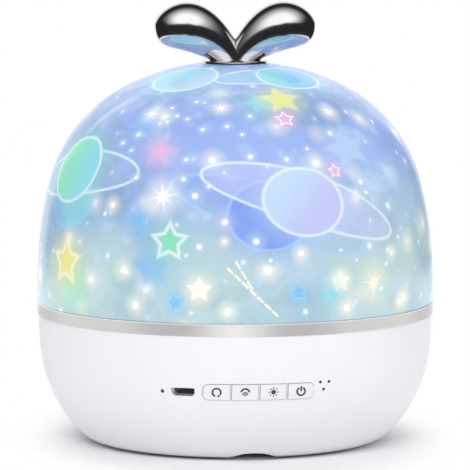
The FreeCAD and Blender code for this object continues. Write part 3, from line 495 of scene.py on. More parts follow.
# Figures of the print, from the ones that lie lowest: kind, angle from the front, height and half
# sizes in millimetres, turn in degrees, and the group's own values
figures = [
    ("ring", 5, 81, (33, 8), -19, {"Line": "ghostLine", "Fill": "ghost", "Cover": 0.2, "Edge": 0.7}),
    ("planet", 3, 80, (13, 11), 0, {"Fill": "ghost", "Shade": "ghost", "Line": "ghostLine", "Edge": 0.7}),
    ("ring", 15, 85, (33, 8), -19, {"Line": "line", "Fill": "lilac", "Cover": 0.45}),
    ("planet", 14, 84, (13.4, 10.8), -10, {"Fill": "ice", "Shade": "lilac", "Line": "line", "Cover": 0.95}),
    ("planet", -66, 82, (12, 9), 0,
     {"Fill": "blue", "Shade": "cyan", "Line": "ghostLine", "Cover": 0.6, "Edge": 0.5}),
    ("ring", -66, 91, (27, 7.5), 8, {"Line": "line", "Fill": "ice", "Cover": 0.2}),
    ("planet", -68, 92, (12.5, 11), 20, {"Fill": "green", "Shade": "cyan", "Line": "line", "Cover": 0.9}),
    ("ring", 8, 120, (15, 8), 0, {"Line": "ghostLine", "Fill": "violet", "Cover": 0.3, "Edge": 0.6}),
    ("ring", 18, 121, (17, 6), -6, {"Line": "line", "Fill": "cyan", "Cover": 0.3}),
    ("planet", 36, 120.6, (11, 9), 0, {"Fill": "cyan", "Shade": "blue", "Line": "line", "Cover": 0.9}),
    ("planet", -46, 120.4, (11, 10), 0, {"Fill": "cyan", "Shade": "ice", "Line": "line", "Cover": 0.8}),
    ("star", -31, 63, (7, 7), 10,
     {"Fill": "blue", "Line": "blue", "Cover": 0.55, "Edge": 0.0, "Halo": 0.3}),
    ("star", -26, 71.6, (5.8, 5.8), 0,
     {"Fill": "mint", "Line": "line", "Cover": 0.95, "Edge": 1.0, "Halo": 0.35}),
    ("star", -61, 56, (6, 6), 0,
     {"Fill": "green", "Line": "green", "Cover": 0.5, "Edge": 0.0, "Blur": 0.3}),
    ("star", -64, 62.5, (7, 7), 0,
     {"Fill": "yellow", "Line": "cream", "Cover": 0.9, "Halo": 0.5, "Blur": 0.25}),
    ("star", -33, 99, (4.6, 4.6), 0,
     {"Fill": "pink", "Line": "pink", "Cover": 0.9, "Edge": 0.0, "Blur": 0.35}),
    ("star", -44, 107.5, (4, 4), 0,
     {"Fill": "blue", "Line": "blue", "Cover": 0.6, "Edge": 0.0, "Blur": 0.3}),
    ("sparkle", -43, 110, (5, 5), 0, {"Fill": "white", "Halo": 0.6}),
    ("sparkle", -36, 77.5, (6.5, 6.5), 0, {"Fill": "blue", "Halo": 0.8}),
    ("sparkle", -29, 85.5, (8, 8), 12, {"Fill": "white", "Halo": 0.7}),
    ("star", -17, 56.8, (3.6, 3.6), 0, {"Fill": "cream", "Line": "white", "Cover": 1.0, "Halo": 0.6}),
    ("star", -24, 52.5, (3, 3), 12, {"Fill": "blue", "Line": "cyan", "Cover": 0.9, "Halo": 0.4}),
    ("star", 11, 55.7, (3, 3), 8, {"Fill": "blue", "Line": "cyan", "Cover": 0.9, "Halo": 0.4}),
    ("star", 24, 58.5, (3, 3), 0,
     {"Fill": "cream", "Line": "white", "Cover": 0.9, "Halo": 0.8, "Blur": 0.3}),
    ("sparkle", 21, 54.4, (7, 7), 12, {"Fill": "cyan", "Halo": 0.5}),
    ("sparkle", 36, 57, (8, 8), -8, {"Fill": "cream", "Halo": 0.6}),
    ("star", 4, 113.8, (5, 5), 15,
     {"Fill": "cyan", "Line": "cyan", "Cover": 0.8, "Edge": 0.0, "Blur": 0.3}),
    ("star", 15, 114.6, (6, 6), 0,
     {"Fill": "yellow", "Line": "cream", "Cover": 0.9, "Edge": 0.3, "Blur": 0.3}),
    ("star", 13, 109, (3, 3), 0, {"Fill": "pink", "Line": "white", "Cover": 0.9, "Halo": 0.7, "Blur": 0.3}),
    ("sparkle", -13, 112.4, (4, 4), 20, {"Fill": "white", "Halo": 0.6}),
    ("sparkle", 35, 110.5, (5, 5), 10, {"Fill": "white", "Halo": 0.6}),
    ("star", 34, 99.5, (8, 6), 10,
     {"Fill": "glow", "Line": "ice", "Cover": 0.75, "Edge": 0.3, "Blur": 0.3}),
    ("star", 26, 93, (2.2, 2.2), 0,
     {"Fill": "pink", "Line": "white", "Cover": 1.0, "Halo": 0.8, "Blur": 0.3}),
    ("sparkle", 49, 91, (9, 9), 25, {"Fill": "ice", "Halo": 0.4}),
    ("dashes", -4.5, 61.5, (5.4, 0.5), -59, {"Fill": "cream", "Dashes": 1.5}),
    ("dashes", -2, 56, (11.5, 0.5), -44, {"Fill": "cream", "Dashes": 3.5}),
]

# Single bright dots: angle, height, half size and halo ink
brightDots = [
    (-35, 112, 0.7, "glow"), (-25, 114, 0.8, "lilac"), (-34, 108, 0.7, "glow"), (-26, 109, 0.7, "glow"),
    (-19, 106, 0.8, "glow"), (-10, 107, 0.8, "glow"), (-49, 101, 0.8, "glow"), (-44, 99, 0.6, "ice"),
    (-23, 97, 0.8, "glow"), (-39, 91, 0.9, "glow"), (-23, 91, 0.9, "glow"), (-19, 86, 1.2, "glow"),
    (-46, 82, 1.2, "cream"), (-10, 78, 1.3, "lilac"), (-10, 72, 0.8, "cream"), (-1, 72, 1.3, "glow"),
    (12, 68, 1.1, "cream"), (3, 66, 0.8, "blue"), (35, 69, 1.1, "ice"), (44, 66, 1.0, "cream"),
    (-52, 58, 1.4, "cream"), (-40, 62, 1.4, "cream"), (-36, 51, 1.4, "cream"), (-9, 50, 1.3, "cream"),
    (13, 49.5, 0.9, "cyan"), (26, 50, 1.3, "cream"), (47, 50, 1.1, "cream"), (-1, 110, 0.8, "glow"),
    (45, 110, 0.7, "glow"), (10, 97, 0.9, "glow"), (18, 100, 0.7, "lilac"), (35, 89, 1.1, "ice"),
    (45, 81, 1.0, "ice"), (-2, 98, 1.0, "glow"), (-24, 77, 0.6, "glow"), (-15, 89, 0.7, "ice"),
    (39, 55, 1.0, "cyan"), (-46, 66, 0.9, "glow"),
]

# Layers of strewn dots: scale, size, share of cells with a dot, strength of the halo and its ink
scatterLayers = [
    (70.0, 0.14, 0.6, 0.6, "cream"), (100.0, 0.13, 0.65, 0.55, "glow"), (170.0, 0.14, 0.6, 0.4, "ice"),
]

# Angle that faces the photo in degrees, heights of the sky's colours in metres, and a distance
# beyond every halo
printPlan = {"frontAngle": -8, "low": 0.052, "high": 0.105, "farReach": 9.0}


def printColour(tree, point, inks):  # the whole print, as one colour over the surface
    sky = useGroup(
        tree, printGroups["sky"], Point=point, Deep=inks["deep"], Teal=inks["teal"],
        Pale=inks["pale"], Violet=inks["violet"], Low=printPlan["low"], High=printPlan["high"],
    )
    colour = sky["Colour"]
    waiting = (1e-12, 1e-12, 1e-12)  # figures wait for the sky, or the shader runs out of room
    folded = foldedPoint(tree, point, printPlan["frontAngle"])
    folded = vectorMaths(tree, "MULTIPLY_ADD", colour, waiting, folded)
    for scale, size, share, halo, fill in scatterLayers:
        colour = useGroup(
            tree, printGroups["scatter"], Under=colour, Point=point, Fill=inks[fill], Scale=scale,
            Size=size, Share=share, Halo=halo,
        )["Colour"]
    for kind, angle, height, size, roll, values in figures:
        settings = {"Under": colour, "Point": folded, **figureFrame(angle, height, size, roll)}
        if kind == "planet":
            settings["Wisp"] = sky["Wisp"]
        if kind == "ring":
            settings["Long"] = size[0]
            settings["Short"] = size[1]
        for label, value in values.items():
            settings[label] = inks[value] if isinstance(value, str) else value
        colour = useGroup(tree, printGroups[kind], **settings)["Colour"]
    for halo in dict.fromkeys(dot[3] for dot in brightDots):
        reach = printPlan["farReach"]
        for angle, height, size, own in brightDots:
            if own == halo:
                place = figureFrame(angle, height, (1, 1))["Place"]
                away = maths(tree, "DIVIDE", vectorMaths(tree, "DISTANCE", folded, place), size * mm)
                reach = maths(tree, "MINIMUM", reach, away)
        dots = useGroup(tree, printGroups["dot"], Under=colour, Reach=reach, Fill=inks[halo])
        colour = dots["Colour"]
    return colour


# Finishes

milkyDome = {"rough": 0.32, "own": 0.42, "glow": 0.62, "coat": 0.3}  # own dims the unlit colour; glow is painted light, the print shining as if the lamp inside lit it, in every pose


def makeMilkyDome():
    material, tree, shader = openMaterial("milkyDome")
    point = objectPoint(tree)
    colour = printColour(tree, point, skyInks)
    grain = useGroup(tree, surfaceGrain, Point=point, Broad=30.0, Fine=900.0)
    dimmed = blendColour(tree, 1.0, colour, (milkyDome["own"],) * 3 + (1.0,), "MULTIPLY")
    tree.links.new(dimmed, shader.inputs["Base Color"])
    tree.links.new(colour, shader.inputs["Emission Color"])
    giveRoughness(tree, shader, grain["Tone"], milkyDome["rough"] - 0.05, milkyDome["rough"] + 0.05)
    setShader(shader, Emission_Strength=milkyDome["glow"], Coat_Weight=milkyDome["coat"])
    setShader(shader, Coat_Roughness=0.12, IOR=1.45)
    return material


dustInk = ink(196, 192, 184)


def makePlastic(name, colour, under, roughness, fine, bump, dust=0.0, coat=0.0):
    material, tree, shader = openMaterial(name)
    point = objectPoint(tree)
    grain = useGroup(tree, surfaceGrain, Point=point, Broad=35.0, Fine=fine)
    tinted = blendColour(tree, grain["Tone"], colour, under)
    if dust:
        normal = addNode(tree, "ShaderNodeNewGeometry").outputs["Normal"]
        mask = useGroup(tree, settledDust, Point=point, Normal=normal, Amount=dust)["Mask"]
        tinted = blendColour(tree, mask, tinted, dustInk)
    tree.links.new(tinted, shader.inputs["Base Color"])
    giveRoughness(tree, shader, grain["Tone"], roughness - 0.06, roughness + 0.06)
    setShader(shader, IOR=1.46, Coat_Weight=coat, Coat_Roughness=0.1)
    addBump(tree, shader, grain["Height"], bump, 0.04 * mm)
    return material


def makeMetal(name, colour, under, roughness):
    material, tree, shader = openMaterial(name)
    point = objectPoint(tree)
    grain = useGroup(tree, surfaceGrain, Point=point, Broad=90.0, Fine=3000.0)
    tree.links.new(blendColour(tree, grain["Tone"], colour, under), shader.inputs["Base Color"])
    giveRoughness(tree, shader, grain["Tone"], roughness * 0.8, roughness * 1.25)
    setShader(shader, Metallic=1.0)
    addBump(tree, shader, grain["Height"], 0.02, 0.02 * mm)
    return material


def makeClear(name, colour, roughness):
    material, tree, shader = openMaterial(name)
    grain = useGroup(tree, surfaceGrain, Point=objectPoint(tree), Broad=40.0, Fine=700.0)
    tree.links.new(blendColour(tree, grain["Tone"], colour, white), shader.inputs["Base Color"])
    giveRoughness(tree, shader, grain["Tone"], roughness, roughness + 0.03)
    setShader(shader, Transmission_Weight=1.0, IOR=1.2)
    return material


# filmLight is painted light: the film's print glows as if lit by the lamp inside it
filmLight = 0.35
filmInks = {
    **skyInks, "deep": ink(12, 22, 60), "teal": ink(16, 40, 84), "pale": ink(30, 60, 120),
    "violet": ink(24, 26, 80), "ghost": ink(30, 44, 120), "glow": ink(60, 90, 170),
    "ice": ink(90, 130, 200), "lilac": ink(96, 100, 190),
}


def makePrintedFilm():
    material, tree, shader = openMaterial("printedFilm")
    point = objectPoint(tree)
    colour = printColour(tree, point, filmInks)
    tree.links.new(colour, shader.inputs["Base Color"])
    tree.links.new(colour, shader.inputs["Emission Color"])
    grain = useGroup(tree, surfaceGrain, Point=point)
    giveRoughness(tree, shader, grain["Tone"], 0.25, 0.4)
    setShader(shader, Emission_Strength=filmLight, IOR=1.5)
    return material


boardLook = {
    "mask": ink(24, 92, 58), "track": ink(44, 128, 80), "shade": ink(16, 60, 40), "shadeShare": 0.3,
    "pitch": 420.0,
}


def makeCircuitBoard():  # short tracks that run along X or Y
    material, tree, shader = openMaterial("circuitBoard")
    point = objectPoint(tree)
    x, y = apart(tree, point)[0:2]
    lines = []
    for part, offset in ((x, 0.0), (y, 0.3)):
        wave = maths(tree, "ADD", maths(tree, "MULTIPLY", part, boardLook["pitch"]), offset)
        wave = maths(tree, "FRACT", wave)
        lines.append(ease(tree, maths(tree, "ABSOLUTE", maths(tree, "SUBTRACT", wave, 0.5)), 0.2, 0.14))
    choose = maths(tree, "GREATER_THAN", noise(tree, point, 120.0, 0.0), 0.5)
    track = addNode(tree, "ShaderNodeMix")
    feed(tree, track.inputs[0], choose)
    feed(tree, track.inputs[2], lines[0])
    feed(tree, track.inputs[3], lines[1])
    colour = blendColour(tree, track.outputs[0], boardLook["mask"], boardLook["track"])
    grain = useGroup(tree, surfaceGrain, Point=point)
    shade = maths(tree, "MULTIPLY", grain["Tone"], boardLook["shadeShare"])
    tree.links.new(blendColour(tree, shade, colour, boardLook["shade"]), shader.inputs["Base Color"])
    giveRoughness(tree, shader, grain["Tone"], 0.3, 0.45)
    addBump(tree, shader, track.outputs[0], 0.25, 0.04 * mm)
    return material


chipLook = {"phosphor": ink(255, 236, 170), "deep": ink(250, 214, 110), "glow": 0.8}


def makeLampChip():
    material, tree, shader = openMaterial("lampChip")
    point = objectPoint(tree)
    grain = useGroup(tree, surfaceGrain, Point=point, Broad=900.0, Fine=4000.0)
    phosphor = blendColour(tree, grain["Tone"], chipLook["phosphor"], chipLook["deep"])
    tree.links.new(phosphor, shader.inputs["Base Color"])
    tree.links.new(phosphor, shader.inputs["Emission Color"])
    giveRoughness(tree, shader, grain["Tone"], 0.3, 0.5)
    setShader(shader, Emission_Strength=chipLook["glow"])
    return material


ringLook = {  # angles in degrees; the ends are counted from the middle of each painted glint. The glint, darker band and low edge colours are painted highlight and painted shade
    "plain": ink(222, 222, 221), "paintedGlint": ink(250, 250, 250), "paintedDarkBand": ink(200, 200, 199),
    "paintedBottomShade": ink(150, 150, 150), "rough": 0.3, "metallic": 0.85, "turn": 7, "halfGap": 45,
    "paintedGlintEnd": 11, "paintedDarkBandStart": (7, 15), "paintedDarkBandEnd": (36, 20),
}


def makeSpunRing():  # spun metal with painted glints and darker painted bands round it, a painted highlight on the upper edge and painted shade on the lower one
    material, tree, shader = openMaterial("spunRing")
    point = objectPoint(tree)
    x, y, z = apart(tree, point)[0:3]
    turn = maths(tree, "ARCTAN2", x, maths(tree, "MULTIPLY", y, -1.0))
    turn = maths(tree, "ADD", turn, math.radians(ringLook["turn"]))
    turn = maths(tree, "PINGPONG", turn, math.radians(ringLook["halfGap"]))
    # painted highlights round the ring, centred where the camera faces it, with darker painted bands
    # between them
    paintedGlint = ease(tree, turn, math.radians(ringLook["paintedGlintEnd"]), 0.0)
    paintedDarkBand = ease(tree, turn, *map(math.radians, ringLook["paintedDarkBandStart"]))
    paintedDarkBand = maths(tree, "MULTIPLY", paintedDarkBand, ease(tree, turn, *map(math.radians, ringLook["paintedDarkBandEnd"])))
    low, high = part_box("trim_ring")
    colour = blendColour(tree, paintedDarkBand, ringLook["plain"], ringLook["paintedDarkBand"])
    colour = blendColour(tree, paintedGlint, colour, ringLook["paintedGlint"])
    # a painted highlight along the top edge and painted shade along the bottom edge
    paintedTopHighlight = ease(tree, z, high.z - 0.9 * mm, high.z - 0.3 * mm)
    bottomShadeMask = ease(tree, z, low.z + 0.6 * mm, low.z + 0.1 * mm)
    colour = blendColour(tree, paintedTopHighlight, colour, ringLook["paintedGlint"])
    colour = blendColour(tree, bottomShadeMask, colour, ringLook["paintedBottomShade"])
    tree.links.new(colour, shader.inputs["Base Color"])
    lines = useGroup(tree, brushLines, Point=point)
    giveRoughness(tree, shader, lines["Tone"], ringLook["rough"] - 0.04, ringLook["rough"] + 0.05)
    setShader(shader, Metallic=ringLook["metallic"])
    addBump(tree, shader, lines["Height"], 0.12, 0.03 * mm)
    return material


# Plastics: name, two colours, roughness, scale of the grain, strength of its bump, dust or coat
finishes = {
    "white_shell": makePlastic(
        "whiteShell", ink(246, 247, 250), ink(240, 241, 246), 0.36, 2600.0, 0.05, coat=0.15,
    ),
    "white_key": makePlastic(
        "whiteKey", ink(244, 244, 247), ink(236, 237, 241), 0.34, 3200.0, 0.05, coat=0.1,
    ),
    "silver_ring": makeSpunRing(),
    "milky_dome": makeMilkyDome(),
    "plated_sprout": makeMetal("platedSprout", ink(234, 233, 235), ink(222, 221, 224), 0.13),
    "inner_plastic": makePlastic(
        "innerPlastic", ink(232, 233, 236), ink(222, 224, 228), 0.5, 1800.0, 0.12, dust=0.25,
    ),
    "gear_plastic": makePlastic(
        "gearPlastic", ink(240, 236, 222), ink(230, 225, 208), 0.42, 1500.0, 0.1, dust=0.2,
    ),
    "clear_dome": makeClear("clearDome", ink(244, 248, 255), 0.03),
    "clear_lens": makeClear("clearLens", ink(246, 250, 255), 0.02),
    "printed_film": makePrintedFilm(),
    "steel": makeMetal("zincSteel", ink(196, 197, 200), ink(176, 177, 182), 0.28),
    "rubber": makePlastic("paleRubber", ink(214, 214, 216), ink(200, 200, 203), 0.72, 1400.0, 0.3),
    "circuit_board": makeCircuitBoard(),
    "black_part": makePlastic(
        "blackPart", ink(34, 34, 37), ink(24, 24, 27), 0.5, 2000.0, 0.2, dust=0.2,
    ),
    "lamp_chip": makeLampChip(),
    "smoked_pipe": makePlastic(
        "smokedPipe", ink(38, 38, 42), ink(26, 26, 30), 0.18, 2400.0, 0.03, coat=0.4,
    ),
    "cell_wrap": makePlastic(
        "cellWrap", ink(58, 112, 176), ink(46, 96, 158), 0.3, 1200.0, 0.08, coat=0.3,
    ),
    "lead_red": makePlastic("leadRed", ink(190, 44, 40), ink(166, 34, 32), 0.42, 1600.0, 0.1),
}
print("finishes made:", len(finishes))

for name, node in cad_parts.items():
    for holder in node.material_slots:
        holder.material = finishes[holder.material.name.split(".")[0]]


def finishPiece(name, mesh, finish, body, smooth=True):
    data = bpy.data.meshes.new(name)
    mesh.to_mesh(data)
    mesh.free()
    if smooth:
        data.shade_smooth()
        data.set_sharp_from_angle(angle=math.radians(50))
    data.materials.append(finishes[finish])
    piece = bpy.data.objects.new(name, data)
    bpy.context.scene.collection.objects.link(piece)
    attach(piece, body)
    return piece


# Sprout: two smooth plated leaves in place of the CAD ones, in millimetres

leafForm = {
    "floor": 124.7, "reach": 26.5, "tipRise": 11.6, "depth": 6.4, "depthShare": 0.8,
    "upperFoot": (-3.0, 0.9), "upperBend": (9.3, 29.7), "upperPull": 5.6,
    "lowerFoot": (5.7, -1.5), "lowerBend": (17.6, 6.3), "lowerPull": -10.2,
    "sections": 64, "around": 72,
}


def leafEdge(foot, bend, pull, share):  # a point of the curve from the leaf's foot to its tip
    tip = (leafForm["reach"], leafForm["tipRise"])
    rest = 1 - share
    weights = (rest ** 3, 3 * rest ** 2 * share, 3 * rest * share ** 2, share ** 3)
    places = (foot, bend, (tip[0], tip[1] + pull), tip)
    x = sum(weight * place[0] for weight, place in zip(weights, places))
    rise = sum(weight * place[1] for weight, place in zip(weights, places))
    return Vector((x, 0, leafForm["floor"] + rise))


def makeLeaf(name, side):
    mesh = bmesh.new()
    loops = []
    for i in range(leafForm["sections"]):
        share = math.sin(math.pi / 2 * i / leafForm["sections"])
        high = leafEdge(leafForm["upperFoot"], leafForm["upperBend"], leafForm["upperPull"], share)
        low = leafEdge(leafForm["lowerFoot"], leafForm["lowerBend"], leafForm["lowerPull"], share)
        half = (high - low) / 2
        middle = (high + low) / 2
        depth = min(leafForm["depth"], half.length * leafForm["depthShare"])
        loop = []
        for k in range(leafForm["around"]):
            turn = 2 * math.pi * k / leafForm["around"]
            spot = middle + half * math.cos(turn) + Vector((0, depth * math.sin(turn), 0))
            loop.append(mesh.verts.new(Vector((spot.x * side, spot.y, spot.z)) * mm))
        loops.append(loop)
    for first, second in zip(loops, loops[1:]):
        for k in range(leafForm["around"]):
            mesh.faces.new((first[k], first[k - 1], second[k - 1], second[k]))
    end = Vector((leafForm["reach"] * side, 0, leafForm["floor"] + leafForm["tipRise"]))
    tip = mesh.verts.new(end * mm)
    for k in range(leafForm["around"]):
        mesh.faces.new((loops[-1][k], loops[-1][k - 1], tip))
    mesh.faces.new(list(reversed(loops[0])))
    for centre, normal in (((0, 0, 0), (side, 0, 0)), ((0, 0, leafForm["floor"] * mm), (0, 0, 1))):
        every = mesh.verts[:] + mesh.edges[:] + mesh.faces[:]
        cut = bmesh.ops.bisect_plane(
            mesh, geom=every, plane_co=centre, plane_no=normal, clear_inner=True,
        )
        edges = [item for item in cut["geom_cut"] if isinstance(item, bmesh.types.BMEdge)]
        bmesh.ops.contextual_create(mesh, geom=edges)
    bmesh.ops.recalc_face_normals(mesh, faces=mesh.faces[:])
    return finishPiece(name, mesh, "plated_sprout", "outer_cover")


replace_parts(makeLeaf("sproutLeafRight", 1), "right_leaf")
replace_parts(makeLeaf("sproutLeafLeft", -1), "left_leaf")
print("leaves made")


# Dark discs of painted shade over the three sound holes, standing for the shade inside them, laid on the
# shell's face as found beside each hole: angles in degrees, lengths in millimetres

holeShadeForm = {
    "holes": ((18.2, 26.7), (21.0, 26.7), (19.5, 24.3)), "radius": 0.5, "proud": 0.03,
    "beside": 0.8, "seekFrom": 100.0, "around": 24,
}


def makeHoleShade():
    mesh = bmesh.new()
    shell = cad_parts["base_shell"]
    for angle, height in holeShadeForm["holes"]:
        turn = math.radians(angle)
        out = Vector((math.sin(turn), -math.cos(turn), 0))
        side = Vector((math.cos(turn), math.sin(turn), 0))
        start = (out * holeShadeForm["seekFrom"] + side * holeShadeForm["beside"] + Vector((0, 0, height))) * mm
        found, place, normal, face = shell.ray_cast(start, -out)
        middle = out * (place.dot(out) + holeShadeForm["proud"] * mm) + Vector((0, 0, height * mm))
        ring = []
        for i in range(holeShadeForm["around"]):
            around = 2 * math.pi * i / holeShadeForm["around"]
            ray = side * math.cos(around) + Vector((0, 0, 1)) * math.sin(around)
            ring.append(mesh.verts.new(middle + ray * holeShadeForm["radius"] * mm))
        mesh.faces.new(ring)
    finishPiece("paintedHoleShade", mesh, "black_part", "base", False)


makeHoleShade()


# Signs printed on the keys, drawn flat in millimetres and laid on each key's face

signLook = {
    "rise": 0.04, "line": 0.56, "reach": 1.58, "height": 24.1, "seekFrom": -80.0,
    "ink": ink(44, 44, 50), "worn": ink(64, 64, 70),
}


def makeSignInk():
    material, tree, shader = openMaterial("signInk")
    grain = useGroup(tree, surfaceGrain, Point=objectPoint(tree), Broad=700.0, Fine=6000.0)
    colour = blendColour(tree, grain["Tone"], signLook["ink"], signLook["worn"])
    tree.links.new(colour, shader.inputs["Base Color"])
    giveRoughness(tree, shader, grain["Tone"], 0.4, 0.6)
    addBump(tree, shader, grain["Height"], 0.1, 0.02 * mm)
    return material


finishes["sign_ink"] = makeSignInk()


def arcBand(mesh, centre, radius, width, start, end, steps=40):  # angles in degrees, from +X towards +Z
    pairs = []
    for i in range(steps + 1):
        turn = math.radians(start + (end - start) * i / steps)
        ray = Vector((math.cos(turn), math.sin(turn)))
        rims = [centre + ray * (radius + width * side) for side in (-0.5, 0.5)]
        pairs.append([mesh.verts.new((*place, 0)) for place in rims])
    for first, second in zip(pairs, pairs[1:]):
        mesh.faces.new((first[0], second[0], second[1], first[1]))


def disc(mesh, centre, radius, steps=24):
    ring = []
    for i in range(steps):
        turn = 2 * math.pi * i / steps
        place = centre + Vector((math.cos(turn), math.sin(turn))) * radius
        ring.append(mesh.verts.new((*place, 0)))
    mesh.faces.new(ring)


def stroke(mesh, start, end, width):  # a straight bar with round ends
    along = (end - start).normalized()
    ring = []
    for place, first in ((end, -90), (start, 90)):
        for i in range(9):
            turn = math.radians(first + 22.5 * i)
            ray = along * math.cos(turn) + Vector((-along.y, along.x)) * math.sin(turn)
            ring.append(mesh.verts.new((*(place + ray * width / 2), 0)))
    mesh.faces.new(ring)


def drawRotate(mesh):
    reach, line = signLook["reach"], signLook["line"]
    arcBand(mesh, Vector((0, 0)), reach - line / 2, line, -38, 252)
    disc(mesh, Vector((0.66, -1.2)), 0.36)


def drawColour(mesh):
    reach, line = signLook["reach"], signLook["line"]
    arcBand(mesh, Vector((0, -0.1)), reach - line / 2, line, 8, 172)
    for i in range(3):
        low = -0.95 + 0.42 * i
        half = 0.85 - 0.17 * i
        stroke(mesh, Vector((-half, low + 0.28)), Vector((0, low)), 0.26)
        stroke(mesh, Vector((half, low + 0.28)), Vector((0, low)), 0.26)


def drawBrightness(mesh):
    disc(mesh, Vector((0, 0)), 0.75)
    for i in range(8):
        turn = math.radians(45 * i)
        ray = Vector((math.cos(turn), math.sin(turn)))
        stroke(mesh, ray * 1.08, ray * 1.55, 0.27)


def drawPower(mesh):
    reach, line = signLook["reach"], signLook["line"]
    arcBand(mesh, Vector((0, -0.1)), reach - line / 2, line, 118, 422)
    stroke(mesh, Vector((0, 0.15)), Vector((0, 1.4)), line)


def makeSign(name, node, body, draw):
    mesh = bmesh.new()
    draw(mesh)
    low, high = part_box(node)
    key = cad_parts[node]
    for vert in mesh.verts:
        x = (low.x + high.x) / 2 + vert.co.x * mm
        z = (signLook["height"] + vert.co.y) * mm
        start = Vector((x, signLook["seekFrom"] * mm, z))
        found, place, normal, face = key.ray_cast(start, Vector((0, 1, 0)))
        vert.co = Vector((x, place.y - signLook["rise"] * mm, z))
    bmesh.ops.recalc_face_normals(mesh, faces=mesh.faces[:])
    for face in mesh.faces:
        if face.normal.y > 0:
            face.normal_flip()
    finishPiece(name, mesh, "sign_ink", body, False)


makeSign("rotateSign", "rotate_button", "rotate_key", drawRotate)
makeSign("colourSign", "colour_button", "colour_key", drawColour)
makeSign("brightnessSign", "brightness_button", "brightness_key", drawBrightness)
makeSign("powerSign", "power_button", "power_key", drawPower)
print("signs made")


# Floor, light and camera

studio = {  # lengths in metres
    "floorInk": ink(250, 250, 251), "shadowNear": 0.07, "shadowFar": 0.115, "shadowShape": (1.5, 1.0, 1.0),
    "worldLevel": 0.5,
    "lamps": {  # place and size in metres, power in watts
        "frontBox": ((-0.5, -1.5, 1.3), (1.2, 0.8), 16.0),
        "rightBox": ((1.6, -0.7, 0.8), (0.8, 0.8), 5.0),
        "topBox": ((0, 0.5, 1.7), (1.0, 1.0), 8.0),
    },
    "lampTarget": (0, 0, 0.06),
}


def whiteRays(tree):  # 1 for rays that come from the camera, or through gloss or glass
    path = addNode(tree, "ShaderNodeLightPath")
    seen = maths(tree, "MAXIMUM", path.outputs["Is Camera Ray"], path.outputs["Is Glossy Ray"])
    return maths(tree, "MAXIMUM", seen, path.outputs["Is Transmission Ray"])


def makeWorld():
    world = bpy.data.worlds.new("studioWorld")
    world.use_nodes = True
    tree = world.node_tree
    background = tree.nodes["Background"]
    background.inputs["Color"].default_value = white
    level = maths(tree, "MAXIMUM", whiteRays(tree), studio["worldLevel"])
    tree.links.new(level, background.inputs["Strength"])
    bpy.context.scene.world = world


def makeFloor():
    mesh = bmesh.new()
    bmesh.ops.create_grid(mesh, x_segments=8, y_segments=8, size=6.0)
    data = bpy.data.meshes.new("studioFloor")
    mesh.to_mesh(data)
    mesh.free()
    floor = bpy.data.objects.new("studioFloor", data)
    bpy.context.scene.collection.objects.link(floor)
    material = bpy.data.materials.new("studioPaper")
    material.use_nodes = True
    tree = material.node_tree
    shader = tree.nodes["Principled BSDF"]
    shader.inputs["Base Color"].default_value = studio["floorInk"]
    setShader(shader, Roughness=0.9, Specular_IOR_Level=0.1)
    stretched = vectorMaths(tree, "MULTIPLY", objectPoint(tree), studio["shadowShape"])
    reach = vectorMaths(tree, "LENGTH", stretched)
    far = ease(tree, reach, studio["shadowNear"], studio["shadowFar"])
    mask = maths(tree, "MULTIPLY", far, whiteRays(tree))
    glow = addNode(tree, "ShaderNodeEmission")
    glow.inputs["Color"].default_value = white
    blend = addNode(tree, "ShaderNodeMixShader")
    tree.links.new(mask, blend.inputs[0])
    tree.links.new(shader.outputs[0], blend.inputs[1])
    tree.links.new(glow.outputs[0], blend.inputs[2])
    tree.links.new(blend.outputs[0], tree.nodes["Material Output"].inputs["Surface"])
    data.materials.append(material)


def aimed(thing, place, target):
    thing.location = place
    thing.rotation_euler = (Vector(target) - Vector(place)).to_track_quat("-Z", "Y").to_euler()


def addLamp(name, place, size, power):
    data = bpy.data.lights.new(name, "AREA")
    data.shape = "RECTANGLE"
    data.size, data.size_y = size
    data.energy = power
    lamp = bpy.data.objects.new(name, data)
    lamp.visible_glossy = False
    bpy.context.scene.collection.objects.link(lamp)
    aimed(lamp, place, studio["lampTarget"])


glossRoom = {  # fades run from nothing to all; those of the room are parts of its radius
    "radius": 3.0, "dark": ink(42, 41, 42), "glowSide": 0.8, "glowHeight": 0.5, "glowTall": 0.56,
    "glow": 1.25, "frontFade": (0.1, -0.3), "backFade": (0.75, 0.45), "lowFade": (0.0, 0.06),
    "bandReach": 0.13, "bandSpan": 125.0, "bandHeights": (0.03, 0.17), "bandSteps": 48,
    "bandLowFade": (0.044, 0.052), "bandHighFade": (0.166, 0.15),
}


def addGlossOnly(name, mesh, build):  # a shape of the studio that only gloss sees
    data = bpy.data.meshes.new(name)
    mesh.to_mesh(data)
    mesh.free()
    card = bpy.data.objects.new(name, data)
    bpy.context.scene.collection.objects.link(card)
    material = bpy.data.materials.new(name)
    material.use_nodes = True
    tree = material.node_tree
    tree.nodes.remove(tree.nodes["Principled BSDF"])
    glow = addNode(tree, "ShaderNodeEmission")
    clear = addNode(tree, "ShaderNodeBsdfTransparent")
    blend = addNode(tree, "ShaderNodeMixShader")
    build(tree, glow, blend)
    tree.links.new(clear.outputs[0], blend.inputs[1])
    tree.links.new(glow.outputs[0], blend.inputs[2])
    tree.links.new(blend.outputs[0], tree.nodes["Material Output"].inputs["Surface"])
    data.materials.append(material)
    card.visible_camera = False
    card.visible_diffuse = False
    card.visible_shadow = False
    card.visible_transmission = False


